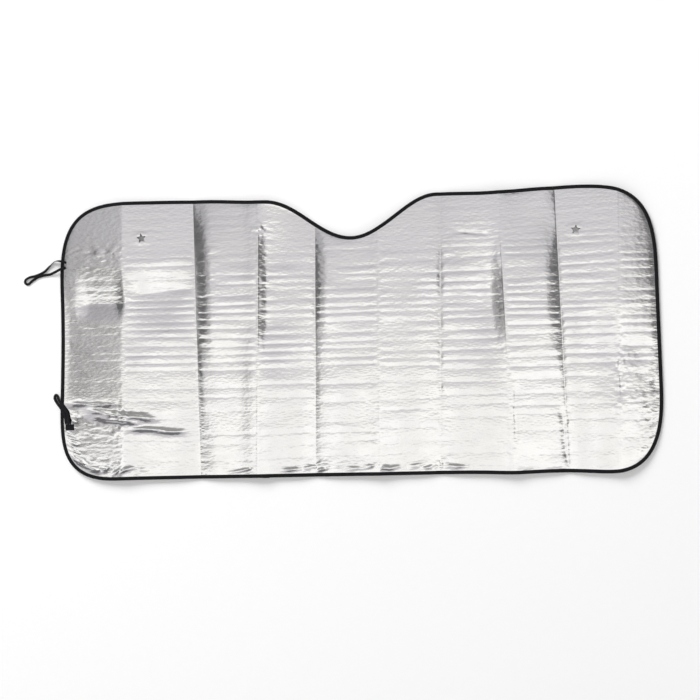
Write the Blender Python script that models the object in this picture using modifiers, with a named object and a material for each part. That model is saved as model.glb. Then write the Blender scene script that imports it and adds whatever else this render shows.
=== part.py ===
# Windscreen sunshade: one foil-faced laminate sheet with accordion folds, bound all round with woven
# tape, with a mirror notch, two star-shaped suction-cup holes and two elastic holding loops.
# Lengths are in metres. X runs along the width, +Y towards the notched edge, +Z out of the foil face.
# The sheet lies as it comes to rest after unfolding, with the origin at floor level under its middle.
# It is drawn with Y measured from the straight bottom edge, and one empty moves it to the origin.

import math

import bmesh
import bpy
from mathutils import Vector

# Sheet outline, to the outer edge of the binding
PANEL_WIDTHS = (0.150, 0.161, 0.133, 0.124, 0.135, 0.135, 0.132, 0.121, 0.121, 0.088)
SHEET_WIDTH = sum(PANEL_WIDTHS)
SHEET_HEIGHT = 0.603
TOP_RISE = 0.013
SIDE_TAPER = 0.002
TOP_CORNER_WIDTH = 0.190
TOP_CORNER_HEIGHT = 0.224
TOP_CORNER_POWER = 3.5
BOTTOM_CORNER_WIDTH = 0.138
BOTTOM_CORNER_HEIGHT = 0.181
BOTTOM_CORNER_POWER = 2.84
NOTCH_DEPTH = 0.087
NOTCH_HALF_WIDTH = 0.188

# Laminate and its relief
LAMINATE = 0.003
RIM_PINCH = 0.6
FOLD_RISE = 0.010
FOLD_LEAN = 0.020
FOLD_MEMORY = 0.8
RIDGE_RISE = 0.0012
PLAIN_ZONE_HEIGHT = 0.113

# Columns are shares of a panel's width, close together beside the folds
PANEL_SHARES = (0.0, 0.13, 0.4, 0.6, 0.87)
NOTCH_PANEL_COLUMNS = 8
END_PANEL_COLUMNS = 6
RIDGE_ZONE_ROWS = 28
PLAIN_ZONE_ROWS = 4
EDGE_PLAIN_ROWS = 2

# Star-shaped holes for suction cups: each X, drop below the sheet's height and turn of the first point
HOLE_PLACES = ((-0.461, 0.076, 25.0), (0.478, 0.090, 13.0))
HOLE_POINTS = 5
HOLE_TIP_RADIUS = 0.011
HOLE_WAIST_RADIUS = 0.0055

# Woven tape folded over the edge, its ends lapped on the bottom edge
TAPE = 0.0006
TAPE_WIDTH = 0.008
TAPE_BEND = 0.0016
LAP_FOLD = 3
LAP_FLARE = 0.001
CLEARANCE = 0.0003

# Elastic loops: radius of the cord, and the places it is led through, by hand
ELASTIC_RADIUS = 0.0015
ELASTIC_STEP = 0.006
UPPER_LOOP_ROUTE = (
    (-0.6330, 0.4800, 0.0080), (-0.6440, 0.4830, 0.0077), (-0.6530, 0.4840, 0.0064),
    (-0.6620, 0.4805, 0.0036), (-0.6710, 0.4725, 0.0022), (-0.6810, 0.4625, 0.0019),
    (-0.6930, 0.4560, 0.0019), (-0.7060, 0.4520, 0.0019), (-0.7170, 0.4498, 0.0019),
    (-0.7255, 0.4445, 0.0019), (-0.7262, 0.4380, 0.0019), (-0.7195, 0.4350, 0.0019),
    (-0.7095, 0.4425, 0.0019), (-0.6985, 0.4493, 0.0019), (-0.6855, 0.4530, 0.0019),
    (-0.6700, 0.4552, 0.0024), (-0.6575, 0.4595, 0.0052), (-0.6450, 0.4650, 0.0077),
    (-0.6340, 0.4690, 0.0080),
)
LOWER_LOOP_ROUTE = (
    (-0.6385, 0.1243, 0.0074), (-0.6395, 0.1360, 0.0076), (-0.6410, 0.1460, 0.0079),
    (-0.6470, 0.1560, 0.0077), (-0.6540, 0.1660, 0.0062), (-0.6612, 0.1765, 0.0034),
    (-0.6628, 0.1835, 0.0019), (-0.6582, 0.1893, 0.0017), (-0.6552, 0.1845, 0.0022),
    (-0.6508, 0.1745, 0.0061), (-0.6445, 0.1645, 0.0077), (-0.6372, 0.1552, 0.0081),
    (-0.6295, 0.1455, 0.0085), (-0.6268, 0.1360, 0.0087), (-0.6268, 0.1243, 0.0087),
)

# Sewn tab that holds the lower loop's two ends against the foil
TAB_LENGTH = 0.019
TAB_HEIGHT = 0.013
TAB_THICKNESS = 0.0012
TAB_TOP = 0.124
TAB_CORNER = 0.002

# Values worked out from the sizes above
HALF_WIDTH = SHEET_WIDTH / 2
TOP_HALF_WIDTH = HALF_WIDTH - SIDE_TAPER
TOP_CORNER_X = TOP_HALF_WIDTH - TOP_CORNER_WIDTH
TOP_CORNER_Y = SHEET_HEIGHT + TOP_RISE * TOP_CORNER_X - TOP_CORNER_HEIGHT
BOTTOM_CORNER_X = HALF_WIDTH - BOTTOM_CORNER_WIDTH
PANEL_COUNT = len(PANEL_WIDTHS)
RIDGE_ZONE_TOP = SHEET_HEIGHT - PLAIN_ZONE_HEIGHT
ROW_COUNT = RIDGE_ZONE_ROWS + PLAIN_ZONE_ROWS
POCKET = LAMINATE / 2 + CLEARANCE
MIDDLE_LEVEL = POCKET + TAPE
RIM_INSET = TAPE + TAPE_BEND + CLEARANCE
LAP_GROWTH = TAPE + CLEARANCE


def mix(a, b, share):
    """Value or vector at a share of the way from a to b."""
    return a + (b - a) * share


def corner_drop(share, power):
    """Drop of a superellipse corner, as a share of its height, at a share of its width."""
    inside = min(max(share, 0.0), 1.0)
    return 1.0 - (1.0 - inside ** power) ** (1.0 / power)


def bottom_edge(x):
    """Height of the bottom edge at x."""
    share = (abs(x) - BOTTOM_CORNER_X) / BOTTOM_CORNER_WIDTH
    return BOTTOM_CORNER_HEIGHT * corner_drop(share, BOTTOM_CORNER_POWER)


def top_edge(x):
    """Height of the top edge at x, with the raised-cosine mirror notch in its middle."""
    reach = abs(x)
    notch = 0.5 * (1.0 + math.cos(math.pi * min(reach / NOTCH_HALF_WIDTH, 1.0)))
    share = (reach - TOP_CORNER_X) / TOP_CORNER_WIDTH
    drop = TOP_CORNER_HEIGHT * corner_drop(share, TOP_CORNER_POWER)
    return SHEET_HEIGHT + TOP_RISE * min(reach, TOP_CORNER_X) - NOTCH_DEPTH * notch - drop


def side_edge(y):
    """Half width of the sheet at the height y."""
    low = BOTTOM_CORNER_WIDTH * corner_drop((BOTTOM_CORNER_HEIGHT - y) / BOTTOM_CORNER_HEIGHT,
                                            BOTTOM_CORNER_POWER)
    high = TOP_CORNER_WIDTH * corner_drop((y - TOP_CORNER_Y) / TOP_CORNER_HEIGHT, TOP_CORNER_POWER)
    share = (y - BOTTOM_CORNER_HEIGHT) / (TOP_CORNER_Y - BOTTOM_CORNER_HEIGHT)
    return mix(HALF_WIDTH, TOP_HALF_WIDTH, min(max(share, 0.0), 1.0)) - low - high


def fold_x(fold, y):
    """X of a fold line at the height y. Fold 0 and the last one are the sheet's own sides."""
    if fold == 0:
        return -side_edge(y)
    if fold == PANEL_COUNT:
        return side_edge(y)
    return sum(PANEL_WIDTHS[:fold]) - HALF_WIDTH + FOLD_LEAN * (y - SHEET_HEIGHT / 2)


def fold_foot(fold):
    """Height at which a fold line meets the bottom edge."""
    if fold in (0, PANEL_COUNT):
        return BOTTOM_CORNER_HEIGHT * (1.0 - 0.5 ** (1.0 / BOTTOM_CORNER_POWER))
    return bottom_edge(fold_x(fold, 0.0))


def fold_head(fold):
    """Height at which a fold line meets the top edge."""
    if fold in (0, PANEL_COUNT):
        return TOP_CORNER_Y + TOP_CORNER_HEIGHT * 0.5 ** (1.0 / TOP_CORNER_POWER)
    height = SHEET_HEIGHT
    for _ in range(4):
        height = top_edge(fold_x(fold, height))
    return height


def row_height(foot, head, row):
    """Height of a row on a line that runs from foot to head."""
    if row <= RIDGE_ZONE_ROWS:
        return mix(foot, RIDGE_ZONE_TOP, row / RIDGE_ZONE_ROWS)
    return mix(RIDGE_ZONE_TOP, head, (row - RIDGE_ZONE_ROWS) / PLAIN_ZONE_ROWS)


def panel_shares(panel):
    """Shares of a panel's width at which it has columns, even at the notch and in the end panels."""
    middle = sum(PANEL_WIDTHS[:panel]) + PANEL_WIDTHS[panel] / 2 - HALF_WIDTH
    if abs(middle) < NOTCH_HALF_WIDTH:
        return tuple(step / NOTCH_PANEL_COLUMNS for step in range(NOTCH_PANEL_COLUMNS))
    if panel in (0, PANEL_COUNT - 1):
        return tuple(step / END_PANEL_COLUMNS for step in range(END_PANEL_COLUMNS))
    return PANEL_SHARES


def columns():
    """Every column of the sheet as a panel and a share of that panel's width."""
    listed = [(panel, share) for panel in range(PANEL_COUNT) for share in panel_shares(panel)]
    return listed + [(PANEL_COUNT - 1, 1.0)]


def grid_place(panel, share, row):
    """Place on the flat outline of a column's point in a row."""
    left_foot, left_head = fold_foot(panel), fold_head(panel)
    right_foot, right_head = fold_foot(panel + 1), fold_head(panel + 1)
    foot = bottom_edge(mix(fold_x(panel, left_foot), fold_x(panel + 1, right_foot), share))
    head = top_edge(mix(fold_x(panel, left_head), fold_x(panel + 1, right_head), share))
    left = fold_x(panel, row_height(left_foot, left_head, row))
    right = fold_x(panel + 1, row_height(right_foot, right_head, row))
    return Vector((mix(left, right, share), row_height(foot, head, row)))


def fold_rise(fold):
    """Height of a fold line over the valley folds: every other one is a ridge."""
    return FOLD_RISE if fold % 2 else 0.0


def end_panel_level(panel, x, y):
    """Rise of the sheet's middle in an end panel, a flat plate from its fold down to the side."""
    fold, outwards = (1, -1.0) if panel == 0 else (PANEL_COUNT - 1, 1.0)
    run = HALF_WIDTH - abs(fold_x(fold, SHEET_HEIGHT / 2)) + abs(FOLD_LEAN) * SHEET_HEIGHT / 2
    return MIDDLE_LEVEL + fold_rise(fold) * (1.0 - outwards * (x - fold_x(fold, y)) / run)


def inner_panel_level(panel, share):
    """Rise of the sheet's middle at a share of a panel, which bends most close to its two folds."""
    bent = share + FOLD_MEMORY * math.sin(2 * math.pi * share) / (2 * math.pi)
    return MIDDLE_LEVEL + mix(fold_rise(panel), fold_rise(panel + 1), bent)


def level_at(x, y):
    """Rise of the sheet's middle at a place, straight from column to column."""
    panel = 0
    while panel < PANEL_COUNT - 1 and x > fold_x(panel + 1, y):
        panel += 1
    if panel in (0, PANEL_COUNT - 1):
        return end_panel_level(panel, x, y)
    left, right = fold_x(panel, y), fold_x(panel + 1, y)
    share = (x - left) / (right - left)
    shares = panel_shares(panel) + (1.0,)
    after = next(index for index in range(1, len(shares)) if share <= shares[index])
    part = (share - shares[after - 1]) / (shares[after] - shares[after - 1])
    return mix(inner_panel_level(panel, shares[after - 1]), inner_panel_level(panel, shares[after]), part)


def grid_point(panel, share, row):
    """Place of a column's point in a row, with the folds and the shallow cross ridges."""
    flat = grid_place(panel, share, row)
    if panel in (0, PANEL_COUNT - 1):
        level = end_panel_level(panel, flat.x, flat.y)
    else:
        level = inner_panel_level(panel, share)
    if EDGE_PLAIN_ROWS <= row < RIDGE_ZONE_ROWS - 1:
        side = 1.0 if (row + panel) % 2 == 0 else -1.0
        level += side * RIDGE_RISE / 2 * math.sin(math.pi * share) ** 2
    return Vector((flat.x, flat.y, level))


def rim_walk():
    """Grid indices round the sheet's edge, anticlockwise from the bottom left."""
    last = len(columns()) - 1
    walk = [(column, 0) for column in range(last)]
    walk += [(last, row) for row in range(ROW_COUNT)]
    walk += [(column, ROW_COUNT) for column in range(last, 0, -1)]
    walk += [(0, row) for row in range(ROW_COUNT, 0, -1)]
    return walk


def rim_stations():
    """Each outline point, with the step from it that goes one unit inwards on the sheet.

    The step follows the grid line, or on an end panel's flat plate the outline's normal.
    """
    listed = columns()
    walk = rim_walk()
    points = [grid_point(*listed[column], row) for column, row in walk]
    stations = []
    for index, (column, row) in enumerate(walk):
        point = points[index]
        panel = listed[column][0]
        along = points[(index + 1) % len(points)] - points[index - 1]
        inward = Vector((-along.y, along.x)).normalized()
        if panel in (0, PANEL_COUNT - 1):
            flat = point.xy + inward
            step = Vector((*inward, end_panel_level(panel, *flat) - end_panel_level(panel, *point.xy)))
        else:
            step = grid_point(*listed[column], min(max(row, 1), ROW_COUNT - 1)) - point
        stations.append((point, step / step.xy.dot(inward)))
    return stations


def material(name, colour, roughness, metallic):
    """Principled material with one colour."""
    made = bpy.data.materials.new(name)
    made.use_nodes = True
    shader = made.node_tree.nodes["Principled BSDF"]
    shader.inputs["Base Color"].default_value = (*colour, 1.0)
    shader.inputs["Roughness"].default_value = roughness
    shader.inputs["Metallic"].default_value = metallic
    return made


def collection(name):
    """New collection in the scene."""
    made = bpy.data.collections.new(name)
    bpy.context.scene.collection.children.link(made)
    return made


def add_object(name, data, group, finish, parent):
    """Object in a collection with its material, placed by its parent."""
    made = bpy.data.objects.new(name, data)
    group.objects.link(made)
    made.parent = parent
    if finish:
        data.materials.append(finish)
    return made


def grid_mesh(name, across, along, place):
    """Grid of faces whose corner at each pair of indices goes where place says."""
    shape = bmesh.new()
    bmesh.ops.create_grid(shape, x_segments=across, y_segments=along, size=1.0)
    for vertex in shape.verts:
        first = round((vertex.co.x + 1.0) / 2.0 * across)
        second = round((vertex.co.y + 1.0) / 2.0 * along)
        vertex.co = place(first, second)
    made = bpy.data.meshes.new(name)
    shape.to_mesh(made)
    shape.free()
    return made


def add_wall(target, thickness, offset):
    """Solidify modifier of even thickness."""
    wall = target.modifiers.new("wall", "SOLIDIFY")
    wall.thickness = thickness
    wall.offset = offset
    wall.use_even_offset = True
    return wall


def star_cutter(hole, group, parent):
    """Star-shaped punch through the whole sheet."""
    x, drop, turn = hole
    y = SHEET_HEIGHT - drop
    outline = bpy.data.curves.new("star_outline", "CURVE")
    outline.dimensions = "2D"
    outline.fill_mode = "BOTH"
    outline.extrude = FOLD_RISE + LAMINATE
    line = outline.splines.new("POLY")
    line.points.add(2 * HOLE_POINTS - 1)
    line.use_cyclic_u = True
    for index, point in enumerate(line.points):
        radius = HOLE_WAIST_RADIUS if index % 2 else HOLE_TIP_RADIUS
        angle = math.radians(turn) + math.pi * index / HOLE_POINTS
        point.co = (radius * math.cos(angle), radius * math.sin(angle), 0.0, 1.0)
    drawn = bpy.data.objects.new("star_drawing", outline)
    group.objects.link(drawn)
    solid = bpy.data.meshes.new_from_object(drawn.evaluated_get(bpy.context.evaluated_depsgraph_get()))
    bpy.data.objects.remove(drawn)
    welded = bmesh.new()
    welded.from_mesh(solid)
    bmesh.ops.remove_doubles(welded, verts=welded.verts, dist=0.00001)
    welded.to_mesh(solid)
    welded.free()
    cutter = add_object("star_punch", solid, group, None, parent)
    cutter.location = (x, y, level_at(x, y))
    cutter.hide_render = True
    cutter.display_type = "WIRE"
    return cutter


def make_foil_sheet(group, cutters, parent):
    """Laminate sheet with its folds, cross ridges, pinched rim and punched holes."""
    listed = columns()
    last = len(listed) - 1
    rim = dict(zip(rim_walk(), rim_stations()))

    def place(column, row):
        if (column, row) in rim:
            point, step = rim[(column, row)]
            return point + step * RIM_INSET
        return grid_point(*listed[column], row)

    mesh = grid_mesh("foil_sheet", last, ROW_COUNT, place)
    foil = add_object("foil_sheet", mesh, group, material("foil", (0.72, 0.72, 0.74), 0.3, 1.0), parent)
    full = foil.vertex_groups.new(name="full_thickness")
    pinched = {edge_vertex for edge in rim_vertices(mesh) for edge_vertex in edge}
    full.add([v.index for v in mesh.vertices if v.index not in pinched], 1.0, "REPLACE")
    full.add(sorted(pinched), RIM_PINCH, "REPLACE")
    wall = add_wall(foil, LAMINATE, 0.0)
    wall.vertex_group = full.name
    for hole in HOLE_PLACES:
        cut = foil.modifiers.new("star_hole", "BOOLEAN")
        cut.operation = "DIFFERENCE"
        cut.object = star_cutter(hole, cutters, parent)
    return foil


def rim_vertices(mesh):
    """Vertex pairs of the edges that bound an open mesh."""
    uses = {}
    for face in mesh.polygons:
        for pair in face.edge_keys:
            uses[pair] = uses.get(pair, 0) + 1
    return [pair for pair, count in uses.items() if count == 1]


def tape_section(growth, flare):
    """Inner face of the folded tape from its back leg to its front leg, as depth and height."""
    side = POCKET + growth
    edge = TAPE - growth - flare
    return (
        (TAPE_WIDTH, -side), (edge + TAPE_BEND, -side), (edge, -side / 2),
        (edge, side / 2), (edge + TAPE_BEND, side), (TAPE_WIDTH, side),
    )


def make_edge_binding(group, parent):
    """Woven tape folded over the rim all the way round, its last end lapped over its first."""
    listed = columns()
    stations = rim_stations()
    start = next(index for index, (panel, share) in enumerate(listed)
                 if panel == LAP_FOLD and share == 0.0)
    route = stations[start:] + stations[:start]
    sections = [tape_section(0.0, 0.0)] * len(route)
    route += route[:2]
    sections += [tape_section(LAP_GROWTH, 0.0), tape_section(LAP_GROWTH, LAP_FLARE)]

    def place(station, index):
        point, step = route[station]
        depth, height = sections[station][index]
        return point + step * depth + Vector((0.0, 0.0, height))

    mesh = grid_mesh("edge_binding", len(route) - 1, len(sections[0]) - 1, place)
    tape = add_object("edge_binding", mesh, group, material("woven_tape", (0.02, 0.02, 0.022), 0.8, 0.0),
                      parent)
    add_wall(tape, TAPE, 1.0)
    return tape


def smooth_route(places, step):
    """Points at even steps along a smooth curve through the chosen places."""
    chosen = [Vector(place) for place in places]
    ends = [chosen[0] * 2 - chosen[1]] + chosen + [chosen[-1] * 2 - chosen[-2]]
    fine = []
    for index in range(1, len(ends) - 2):
        before, here, there, after = ends[index - 1:index + 3]
        for part in range(12):
            t = part / 12
            fine.append(0.5 * (here * 2 + (there - before) * t
                               + (before * 2 - here * 5 + there * 4 - after) * t ** 2
                               + (here * 3 - before - there * 3 + after) * t ** 3))
    fine.append(chosen[-1])
    total = sum((b - a).length for a, b in zip(fine, fine[1:]))
    count = round(total / step)
    points = [fine[0]]
    travelled = 0.0
    for a, b in zip(fine, fine[1:]):
        travelled += (b - a).length
        if travelled >= total / count * len(points) and len(points) < count:
            points.append(b)
    return points + [fine[-1]]


def make_elastic_loop(name, places, group, finish, parent):
    """Elastic cord along its route, as a plain round tube."""
    cord = bpy.data.curves.new(name, "CURVE")
    cord.dimensions = "3D"
    cord.bevel_depth = ELASTIC_RADIUS
    cord.bevel_resolution = 2
    cord.use_fill_caps = True
    points = smooth_route(places, ELASTIC_STEP)
    line = cord.splines.new("POLY")
    line.points.add(len(points) - 1)
    for spot, point in zip(line.points, points):
        spot.co = (*point, 1.0)
    return add_object(name, cord, group, finish, parent)


def make_lower_loop_tab(group, finish, parent):
    """Flat sewn tab beside the binding, lying on the foil face."""
    bpy.ops.mesh.primitive_cube_add(size=1.0)
    tab = bpy.context.object
    tab.name = "lower_loop_tab"
    for owner in list(tab.users_collection):
        owner.objects.unlink(tab)
    group.objects.link(tab)
    tab.data.materials.append(finish)
    for vertex in tab.data.vertices:
        vertex.co = Vector((vertex.co.x * TAB_LENGTH, vertex.co.y * TAB_HEIGHT, vertex.co.z * TAB_THICKNESS))
    rounding = tab.modifiers.new("corners", "BEVEL")
    rounding.width = TAB_CORNER
    rounding.segments = 3
    rounding.limit_method = "WEIGHT"
    weights = tab.data.attributes.new("bevel_weight_edge", "FLOAT", "EDGE")
    for edge in tab.data.edges:
        a, b = (tab.data.vertices[index].co for index in edge.vertices)
        weights.data[edge.index].value = 1.0 if abs(a.z - b.z) > TAB_THICKNESS / 2 else 0.0
    middle_y = TAB_TOP - TAB_HEIGHT / 2
    left = -side_edge(TAB_TOP - TAB_HEIGHT) + TAPE_WIDTH + CLEARANCE
    slope = math.atan((level_at(left + TAB_LENGTH, middle_y) - level_at(left, middle_y)) / TAB_LENGTH)
    middle_x = left + TAB_LENGTH / 2
    lift = LAMINATE / 2 + CLEARANCE + TAB_THICKNESS / 2
    tab.rotation_euler = (0.0, -slope, 0.0)
    tab.location = (middle_x, middle_y, level_at(middle_x, middle_y) + lift / math.cos(slope))
    tab.parent = parent
    return tab


def make_sunshade():
    """All pieces of the sunshade, moved so that the origin is under the middle of their box."""
    for old in list(bpy.data.objects):
        bpy.data.objects.remove(old)
    parts = collection("windscreen_sunshade")
    cutters = collection("cutters")
    heights = [point.y for point, _ in rim_stations()]
    lowest = -(LAP_GROWTH + LAP_FLARE)
    datum = bpy.data.objects.new("sheet_datum", None)
    datum.location = (0.0, -(lowest + max(heights)) / 2, 0.0)
    parts.objects.link(datum)
    elastic = material("elastic", (0.02, 0.02, 0.02), 0.7, 0.0)
    make_foil_sheet(parts, cutters, datum)
    make_edge_binding(parts, datum)
    make_elastic_loop("upper_elastic_loop", UPPER_LOOP_ROUTE, parts, elastic, datum)
    make_elastic_loop("lower_elastic_loop", LOWER_LOOP_ROUTE, parts, elastic, datum)
    make_lower_loop_tab(parts, elastic, datum)


make_sunshade()
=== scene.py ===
"""Looks of a folding windscreen sunshade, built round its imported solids.

The foil laminate, its woven edge tape, the tape's stitches and the two elastic loops are made here
in the places that the solids hold. Lengths are in metres. The sheet is planned with Y measured from
its straight bottom edge, as in the source of the solids, and each mesh is then moved to the frame.
"""

import logging
import math
from dataclasses import dataclass, replace
from enum import Enum
from typing import Any, Iterable, Sequence

import bmesh
import bpy
import numpy as np
from mathutils import Matrix, Vector


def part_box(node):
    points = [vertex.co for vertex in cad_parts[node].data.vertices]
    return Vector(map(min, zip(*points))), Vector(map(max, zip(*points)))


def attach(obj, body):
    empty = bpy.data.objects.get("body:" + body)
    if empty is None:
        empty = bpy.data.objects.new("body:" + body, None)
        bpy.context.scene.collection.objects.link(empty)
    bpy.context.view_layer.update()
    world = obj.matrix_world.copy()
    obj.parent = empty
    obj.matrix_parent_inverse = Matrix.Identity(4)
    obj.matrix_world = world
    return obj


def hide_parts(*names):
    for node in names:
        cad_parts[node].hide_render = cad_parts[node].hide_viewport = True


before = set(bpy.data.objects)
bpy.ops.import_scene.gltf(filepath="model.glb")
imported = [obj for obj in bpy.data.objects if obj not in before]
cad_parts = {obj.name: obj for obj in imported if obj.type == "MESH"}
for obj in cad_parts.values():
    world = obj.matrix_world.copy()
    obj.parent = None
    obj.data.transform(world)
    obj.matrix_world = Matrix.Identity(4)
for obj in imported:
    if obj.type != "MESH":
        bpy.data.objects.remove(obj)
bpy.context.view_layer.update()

BODY = "root"
SHEET_DATUM = -0.303526908
LOG = logging.getLogger("sunshade")


class Look(Enum):
    """Named pieces of the sunshade, in the order in which they are made."""

    FOIL = "foil_laminate"
    BINDING = "woven_edge_tape"
    STITCHES = "tape_stitches"
    UPPER_LOOP = "upper_elastic"
    LOWER_LOOP = "lower_elastic"
    TAB = "lower_loop_sewn_tab"


class Step(Enum):
    """Kinds of calculation in a node tree: the node's type, its setting and the choice made there."""

    ADD = ("ShaderNodeMath", "operation", "ADD")
    SUBTRACT = ("ShaderNodeMath", "operation", "SUBTRACT")
    MULTIPLY = ("ShaderNodeMath", "operation", "MULTIPLY")
    DIVIDE = ("ShaderNodeMath", "operation", "DIVIDE")
    POWER = ("ShaderNodeMath", "operation", "POWER")
    SINE = ("ShaderNodeMath", "operation", "SINE")
    SIZE = ("ShaderNodeMath", "operation", "ABSOLUTE")
    LEAST = ("ShaderNodeMath", "operation", "MINIMUM")
    MOST = ("ShaderNodeMath", "operation", "MAXIMUM")
    EVEN = ("ShaderNodeMapRange", "interpolation_type", "LINEAR")
    SMOOTH = ("ShaderNodeMapRange", "interpolation_type", "SMOOTHSTEP")


def linear(code: str) -> tuple[float, float, float, float]:
    """Linear colour of an sRGB hex code.

    Args:
        code: six hex digits after a hash.

    Returns:
        Red, green, blue and an alpha of one.
    """
    parts = [int(code[at:at + 2], 16) / 255 for at in (1, 3, 5)]
    red, green, blue = (p / 12.92 if p <= 0.04045 else ((p + 0.055) / 1.055) ** 2.4 for p in parts)
    return red, green, blue, 1.0


def add_node(tree: bpy.types.NodeTree, kind: str, settings: dict[str, Any] | None = None,
             links: dict[Any, Any] | None = None) -> bpy.types.Node:
    """Node with its settings and its inputs.

    Args:
        tree: the tree that gets the node.
        kind: the node's type name.
        settings: the node's own properties by name.
        links: for each input's name or number, the socket that feeds it, or its plain value.

    Returns:
        The new node.
    """
    made = tree.nodes.new(kind)
    for name, value in (settings or {}).items():
        setattr(made, name, value)
    for key, value in (links or {}).items():
        socket = made.inputs[key]
        if isinstance(value, bpy.types.NodeSocket):
            tree.links.new(value, socket)
        else:
            socket.default_value = value
    return made


def add_steps(tree: bpy.types.NodeTree, known: dict[str, Any], steps: Iterable[Sequence[Any]]) -> None:
    """Adds the nodes of a calculation one after another.

    Args:
        tree: the tree that gets the nodes.
        known: sockets by name, to which each node's first output is added.
        steps: for each node the name of its result, its Step, and its inputs in order, each of them
            a plain value or the name of a known socket.
    """
    for name, step, *values in steps:
        kind, setting, choice = step.value
        inputs = {at: known[value] if isinstance(value, str) else value for at, value in enumerate(values)}
        known[name] = add_node(tree, kind, {setting: choice}, inputs).outputs[0]


def new_material(name: str) -> tuple[bpy.types.Material, bpy.types.NodeTree, bpy.types.Node]:
    """New material, its node tree and its shader.

    Args:
        name: the material's name.

    Returns:
        The material, its node tree and its shader.
    """
    made = bpy.data.materials.new(name)
    made.use_nodes = True
    return made, made.node_tree, made.node_tree.nodes["Principled BSDF"]


def new_tree(name: str, sizes: Iterable[str]) -> tuple[bpy.types.GeometryNodeTree, Any]:
    """New Geometry Nodes tree that takes a mesh, sizes and a finish, and gives a mesh.

    Args:
        name: the tree's name.
        sizes: names of the sizes that it takes.

    Returns:
        The tree, and the sockets of what it takes.
    """
    tree = bpy.data.node_groups.new(name, "GeometryNodeTree")
    numbers = [(size, "Float") for size in sizes]
    for label, kind in (("Geometry", "Geometry"), *numbers, ("Finish", "Material")):
        tree.interface.new_socket(label, in_out="INPUT", socket_type="NodeSocket" + kind)
    tree.interface.new_socket("Geometry", in_out="OUTPUT", socket_type="NodeSocketGeometry")
    return tree, tree.nodes.new("NodeGroupInput").outputs


def smooth_step(low: float, high: float, value: np.ndarray) -> np.ndarray:
    """Zero under low, one over high, and a smooth rise between them."""
    share = np.clip((value - low) / (high - low), 0.0, 1.0)
    return share * share * (3.0 - 2.0 * share)


def window(rise: tuple[float, float], fall: tuple[float, float], value: np.ndarray) -> np.ndarray:
    """One from the end of the rise to the start of the fall, and zero outside both."""
    return smooth_step(*rise, value) * (1.0 - smooth_step(*fall, value))


def bell(x: np.ndarray, y: np.ndarray, centre: tuple[float, float], reach: tuple[float, float]) -> np.ndarray:
    """One at the centre, fading smoothly over the reach."""
    return np.exp(-((x - centre[0]) / reach[0]) ** 2 - ((y - centre[1]) / reach[1]) ** 2)


def walked(line: np.ndarray) -> np.ndarray:
    """Distance along a line at each of its points."""
    return np.concatenate([[0.0], np.cumsum(np.linalg.norm(np.diff(line, axis=0), axis=1))])


def put_in_scene(name: str, data: bpy.types.ID) -> bpy.types.Object:
    """New object at the origin with that data, in the scene's own collection.

    Args:
        name: the object's name.
        data: the mesh, lamp, camera or curve that it shows.

    Returns:
        The object.
    """
    made = bpy.data.objects.new(name, data)
    bpy.context.scene.collection.objects.link(made)
    return made


def plain_mesh(source: bpy.types.Object) -> bpy.types.Mesh:
    """Mesh of an object with its modifiers worked in.

    Args:
        source: the object.

    Returns:
        A new mesh of what the modifiers make.
    """
    bpy.context.view_layer.update()
    graph = bpy.context.evaluated_depsgraph_get()
    return bpy.data.meshes.new_from_object(
        source.evaluated_get(graph), preserve_all_data_layers=True, depsgraph=graph)


@dataclass(frozen=True)
class Pull:
    """Small soft shift of the settled sheet round one place."""

    centre: tuple[float, float]
    reach: tuple[float, float]
    shift: tuple[float, float]

    def weight(self, x: np.ndarray, y: np.ndarray) -> np.ndarray:
        """Share of the shift that each place gets."""
        return bell(x, y, self.centre, self.reach)


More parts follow.
